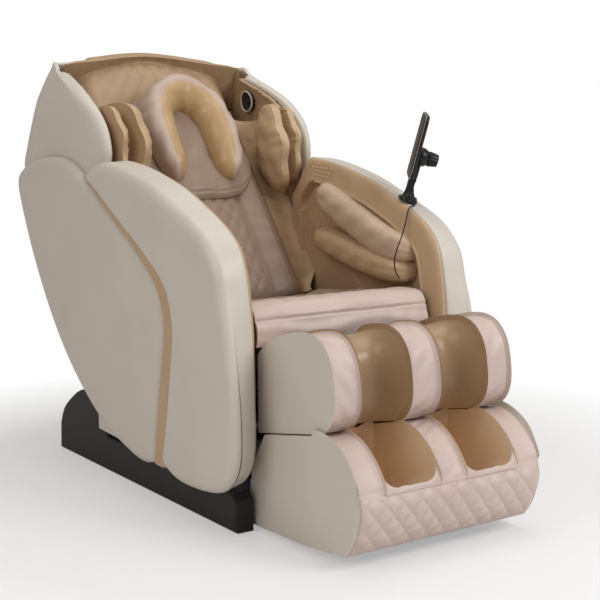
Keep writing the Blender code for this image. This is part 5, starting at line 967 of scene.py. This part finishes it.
well_shape, lip_shape = bmesh.new(), bmesh.new()
for side in (-1, 1):
    face, back, lip_face, lip_back = [], [], [], []
    for w in sine_steps(56) * 0.5 + 0.5:
        x = side * (0.0388 + (0.1966 - 0.0388) * w)
        round_by = max(0.0, CORNER - min(w, 1 - w) * 0.1578)
        climb = abs(2 * w - 1) ** 3.2
        rim_z = 0.172 + (0.01 + CORNER - math.sqrt(max(0.0, CORNER ** 2 - round_by ** 2)))
        rim_y = crest_at(rim_z)
        run = spline([(-0.519, 0.2615 + 0.012 * climb), (-0.496 - 0.03 * climb, 0.205),
                      (-0.478 - 0.04 * climb, 0.14), (-0.496 - 0.04 * climb, 0.096 + 0.02 * climb),
                      (-0.56, 0.082 + 0.045 * climb), (-0.64, 0.096 + 0.055 * climb),
                      (-0.7, 0.126 + 0.055 * climb), (rim_y + 0.016, rim_z - 0.01),
                      (rim_y + 0.006, rim_z - 0.0005)], 90)
        crease = 0.0045 * ridge(t, 0.36, 0.012) * math.sin(math.pi * w) ** 0.5
        ripple = 0.0042 * np.sin(w * 15.0 + t * 11.0) * np.sin(t * 17.0 + w * 4.0) * math.sin(math.pi * w)
        face.append(sheet(x, run[:, 0], run[:, 1] - crease + ripple))
        under = run + np.array((0.0, -0.009))
        under[:, 0] += 0.01 * ramp(t, 0.4, -0.2) - 0.004 * ramp(t, 0.9, 0.1)
        back.append(at_x(x, under))
        strip = [(rim_y + 0.0062, rim_z - 0.0012), (rim_y + 0.003, rim_z + 0.0012),
                 (rim_y - 0.0008, rim_z - 0.0016)]
        strip += [(crest_at(z) - 0.0012, z) for z in np.linspace(rim_z - 0.005, 0.1725, 9)]
        lip_face.append(at_x(x, spline(strip, 26)))
        lip_back.append(at_x(x, even([(rim_y + 0.0065, rim_z - 0.003), (-0.752, 0.1725)], 26)))
    closed_sheet(np.array(face), np.array(back), well_shape)
    closed_sheet(np.array(lip_face), np.array(lip_back), lip_shape)
# The well lining's light tan is painted light against the shade in the wells.
finish_piece("foot_well_lining", well_shape, well_tan_painted_light, "foot_section", 0.4)
finish_piece("foot_well_lips", lip_shape, rose, "foot_section", 0.4, node="")

well_line = [(-0.72, 0.1722), (-0.64, 0.09), (-0.49, 0.1), (-0.519, 0.2612), tuple(lid[-1])]
rear = [even(pair, count) for pair, count in zip(zip(well_line, well_line[1:]), (14, 20, 16, 14))]
rear = np.vstack([rear[0], rear[1][1:], rear[2][1:], rear[3][1:-1]])
rings, tones = padded_wall(top, rear, -0.039, 0.039, (0.08, 0.92), (1, 1))
# The centre wall's tan sides take the wells' painted lighter tan.
cover_wall("foot_wall_centre_cover", rings, tones, [rose, well_tan_painted_light], "foot_section", (11, 32), 4, 56)


# ---------------------------------------------------------------- stitches
# Thread along the seams: a node group sets one short stitch after another on each seam's curve,
# turned along it, and every body's stitches are one mesh.

rows = bpy.data.node_groups.new("stitch rows", "GeometryNodeTree")
rows.interface.new_socket("Geometry", in_out="INPUT", socket_type="NodeSocketGeometry")
settings = {}
for label, kind, value in (("Pitch", "NodeSocketFloat", 0.0062), ("Stitch Length", "NodeSocketFloat", 0.0044),
                           ("Thread Radius", "NodeSocketFloat", 0.0007),
                           ("Thread", "NodeSocketMaterial", thread)):
    settings[rows.interface.new_socket(label, in_out="INPUT", socket_type=kind).identifier] = value
rows.interface.new_socket("Geometry", in_out="OUTPUT", socket_type="NodeSocketGeometry")
entry = add_node(rows, "NodeGroupInput")
leave = add_node(rows, "NodeGroupOutput")
curve = add_node(rows, "GeometryNodeMeshToCurve")
spaced = add_node(rows, "GeometryNodeResampleCurve", mode="LENGTH")
tangent = add_node(rows, "GeometryNodeInputTangent")
turn_to = add_node(rows, "FunctionNodeAlignRotationToVector", axis="Z")
bead = add_node(rows, "GeometryNodeMeshUVSphere", {"Segments": 8, "Rings": 6, "Radius": 1.0})
halved = add_node(rows, "ShaderNodeMath", {1: 0.5}, operation="MULTIPLY")
stretch = add_node(rows, "ShaderNodeCombineXYZ")
placed = add_node(rows, "GeometryNodeInstanceOnPoints")
real = add_node(rows, "GeometryNodeRealizeInstances")
coloured = add_node(rows, "GeometryNodeSetMaterial")
wire(rows, (entry, "Geometry", curve, "Mesh"), (curve, "Curve", spaced, "Curve"),
     (entry, "Pitch", spaced, "Length"), (spaced, "Curve", placed, "Points"),
     (tangent, "Tangent", turn_to, "Vector"), (turn_to, "Rotation", placed, "Rotation"),
     (bead, "Mesh", placed, "Instance"), (entry, "Stitch Length", halved, 0),
     (entry, "Thread Radius", stretch, "X"), (entry, "Thread Radius", stretch, "Y"),
     (halved, "Value", stretch, "Z"), (stretch, "Vector", placed, "Scale"),
     (placed, "Instances", real, "Geometry"), (real, "Geometry", coloured, "Geometry"),
     (entry, "Thread", coloured, "Material"), (coloured, "Geometry", leave, "Geometry"))

for body, runs in seam_runs.items():
    links, first = [], 0
    for run in runs:
        links += [(first + k, first + k + 1) for k in range(len(run) - 1)]
        first += len(run)
    lines = bpy.data.meshes.new("seam lines")
    lines.from_pydata([tuple(p) for p in np.vstack(runs)], links, [])
    carrier = place_object("seam lines", lines)
    sewing = carrier.modifiers.new("stitches", "NODES")
    sewing.node_group = rows
    for socket, value in settings.items():
        sewing[socket] = value
    ready = carrier.evaluated_get(bpy.context.evaluated_depsgraph_get())
    sewn = bpy.data.meshes.new_from_object(ready)
    sewn.name = f"{body}_stitches"
    sewn.shade_smooth()
    bpy.data.objects.remove(carrier)
    piece = place_object(f"{body}_stitches", sewn)
    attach(piece, body)


# ---------------------------------------------------------------- base, wheels and mechanism
# The moulded base is textured black plastic. Frames are black painted steel, the sliding rods are
# ground steel, the wheels are rubber, and everything electrical sits in grey or black housings.

satin = moulded("satin black plastic", (0.014, 0.014, 0.015), 0.3, 0.15, 900.0)
rubber = moulded("tyre rubber", (0.022, 0.022, 0.022), 0.75, 0.6, 500.0)
for made, nodes in (
        (moulded("textured black plastic", (0.018, 0.018, 0.019), 0.48, 0.5, 1400.0),
         ("base_cover", "lower_back_cover", "power_inlet")),
        (moulded("black painted steel", (0.045, 0.045, 0.05), 0.42, 0.3, 700.0, metallic=0.3),
         ("base_frame", "seat_frame", "back_frame", "massage_carriage", "calf_frame", "foot_frame")),
        (moulded("ground steel", (0.62, 0.62, 0.64), 0.24, 0.2, 1800.0, metallic=1.0),
         ("seat_lift_rod", "recline_rod", "leg_lift_rod")),
        (moulded("grey housing", (0.2, 0.2, 0.21), 0.5, 0.4, 900.0),
         ("control_box", "air_pump", "kneading_rollers", "sole_roller")),
        (satin, ("power_switch", "seat_lift_tube", "recline_tube", "leg_lift_tube", "stand_base",
                 "stand_post")),
        (rubber, ("transport_wheel_right", "transport_wheel_left"))):
    for node in nodes:
        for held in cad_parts[node].material_slots:
            held.material = made


# ---------------------------------------------------------------- controller and its lead
# A tablet on a tilting stand: a rounded gloss case with a silver trim round a glass screen, a round
# clamp housing behind, and a fluted knob that holds it. Its lead hangs down to the seat.

normal = Vector((-0.79482, 0.55654, 0.24192)).normalized()
upward = Vector((0.08473, -0.20364, 0.97537))
upward = (upward - normal * upward.dot(normal)).normalized()
sideways = normal.cross(upward).normalized()
pivot = Vector((0.32124, -0.22118, 0.81093))


def rounded_plate(centre, wide, high, corner, layers, shape=None, tone=0):
    """Closed slab with round corners, through layers of (height along the normal, inset)."""
    rings = []
    for level, shrink in layers:
        one = []
        reach = max(0.0005, corner - shrink)
        for start, sx, sz in ((0, 1, 1), (90, -1, 1), (180, -1, -1), (270, 1, -1)):
            for k in range(13):
                turn = math.radians(start + 90 * k / 12)
                a = sx * (wide / 2 - corner) + reach * math.cos(turn)
                b = sz * (high / 2 - corner) + reach * math.sin(turn)
                one.append(centre + sideways * a + upward * b + normal * level)
        rings.append(one)
    return loft(rings, shape, tone)


def turned(foot, axis, profile, shape=None, tone=0, count=48, flutes=0, depth=0.0):
    """Closed turned body of (along, radius) steps; flutes dent it all round."""
    axis = axis.normalized()
    side = axis.orthogonal().normalized()
    other = axis.cross(side)
    rings = []
    for along, radius in profile:
        one = []
        for k in range(count):
            turn = math.tau * k / count
            r = radius * (1 - depth * max(0.0, math.cos(flutes * turn)) ** 2) if flutes else radius
            one.append(foot + axis * along + side * (r * math.cos(turn)) + other * (r * math.sin(turn)))
        rings.append(one)
    return loft(rings, shape, tone)


# Painted reflection: the screen's dark brownish colour stands in for what the glass reflects, and its own
# specular is turned down to 0.06.
screen_painted_reflection = moulded("screen glass with painted reflection", (0.03, 0.017, 0.014), 0.3, 0.02, 60.0)
screen_painted_reflection.node_tree.nodes["Principled BSDF"].inputs["Specular IOR Level"].default_value = 0.06
silver = moulded("silver trim", (0.66, 0.66, 0.68), 0.26, 0.1, 900.0, metallic=1.0)
middle = pivot + upward * (0.174 / 2 + 0.014) + normal * 0.008
shape = rounded_plate(middle, 0.13, 0.174, 0.021, [(-0.006, 0.006), (-0.0056, 0.003), (-0.0045, 0.0012),
                                                    (-0.0028, 0.0002), (0.001, 0.0), (0.003, 0.0004)])
rounded_plate(middle, 0.1304, 0.1744, 0.0212, [(0.0034, 0.0), (0.0036, -0.0005), (0.0042, -0.0005),
                                               (0.0046, 0.0004), (0.005, 0.0014)], shape, tone=1)
rounded_plate(middle, 0.126, 0.17, 0.019, [(0.0034, 0.0), (0.0056, 0.0002), (0.006, 0.001)], shape, tone=2)
knob_foot = pivot + upward * 0.074 - normal * 0.026
turned(knob_foot + normal * 0.031, -normal, [(0, 0.022), (0.004, 0.0255), (0.014, 0.0258), (0.02, 0.0245),
                                            (0.0255, 0.0215), (0.0295, 0.0195), (0.0307, 0.018)], shape)
turned(knob_foot + normal * 0.01, -normal, [(0, 0.004), (0.026, 0.004)], shape, tone=1)


def squared(share):
    """A circle's coordinate drawn toward a rounded square's."""
    return share * (abs(share) ** -0.55 if abs(share) > 0.05 else 1)


neck_low = pivot - normal * 0.0036 + upward * 0.004
for low, high, wide, thick in ((0.0, 0.012, 0.0165, 0.016), (0.012, 0.08, 0.017, 0.0175)):
    rings = []
    for t in (0.0, 0.12, 0.5, 0.88, 1.0):
        size = 1.0 - 0.1 * abs(2 * t - 1) ** 8
        at = neck_low + upward * (low + (high - low) * t)
        rings.append([at + sideways * (wide / 2 * size * squared(math.cos(q)))
                      + normal * (thick / 2 * size * squared(math.sin(q)))
                      for q in np.linspace(0, math.tau, 32, endpoint=False)])
    loft(rings, shape)
turned(pivot - sideways * 0.0085, sideways, [(0, 0.0078), (0.001, 0.0085), (0.016, 0.0085),
                                             (0.017, 0.0078)], shape)
finish_piece("tablet_case", shape, [satin, silver, screen_painted_reflection], "tablet_tilt")

shape = turned(knob_foot, -normal, [(0.0003, 0.0185), (0.0012, 0.02), (0.003, 0.0204), (0.023, 0.017),
                                    (0.0262, 0.0158), (0.0275, 0.013), (0.028, 0.008)], count=96, flutes=8,
               depth=0.09)
finish_piece("clamp_knob_grip", shape, satin, "knob_turn")


def arm_height(x, y):
    """Height of the arm's upper edge at half-width x."""
    run = arm_edge(x)[:70][::-1]
    return float(np.interp(y, run[:, 0], run[:, 1]))


cord_radius = 0.0018
cord_run = [(x, y, arm_height(x, y) + 0.0022) for x, y in ((0.315, -0.242), (0.308, -0.245), (0.299, -0.249),
                                                           (0.291, -0.253))]
cord_run += [(0.28, -0.257, 0.734), (0.266, -0.266, 0.708), (0.24, -0.28, 0.672),
             (0.212, -0.296, 0.642), (0.201, -0.301, 0.613), (0.208, -0.297, 0.589),
             (0.226, -0.291, 0.568)]
cord_points = spline(cord_run, 34)
rings = []
for point, ahead in zip(cord_points, np.gradient(cord_points, axis=0)):
    ahead = Vector(ahead).normalized()
    side = ahead.cross(Vector((0.2, 0.9, 0.1))).normalized()
    other = ahead.cross(side)
    rings.append([Vector(point) + side * (cord_radius * math.cos(math.tau * k / 14))
                  + other * (cord_radius * math.sin(math.tau * k / 14)) for k in range(14)])
lead = finish_piece("controller_lead", loft(rings), rubber, "seat_unit",
                    node="controller_cord")
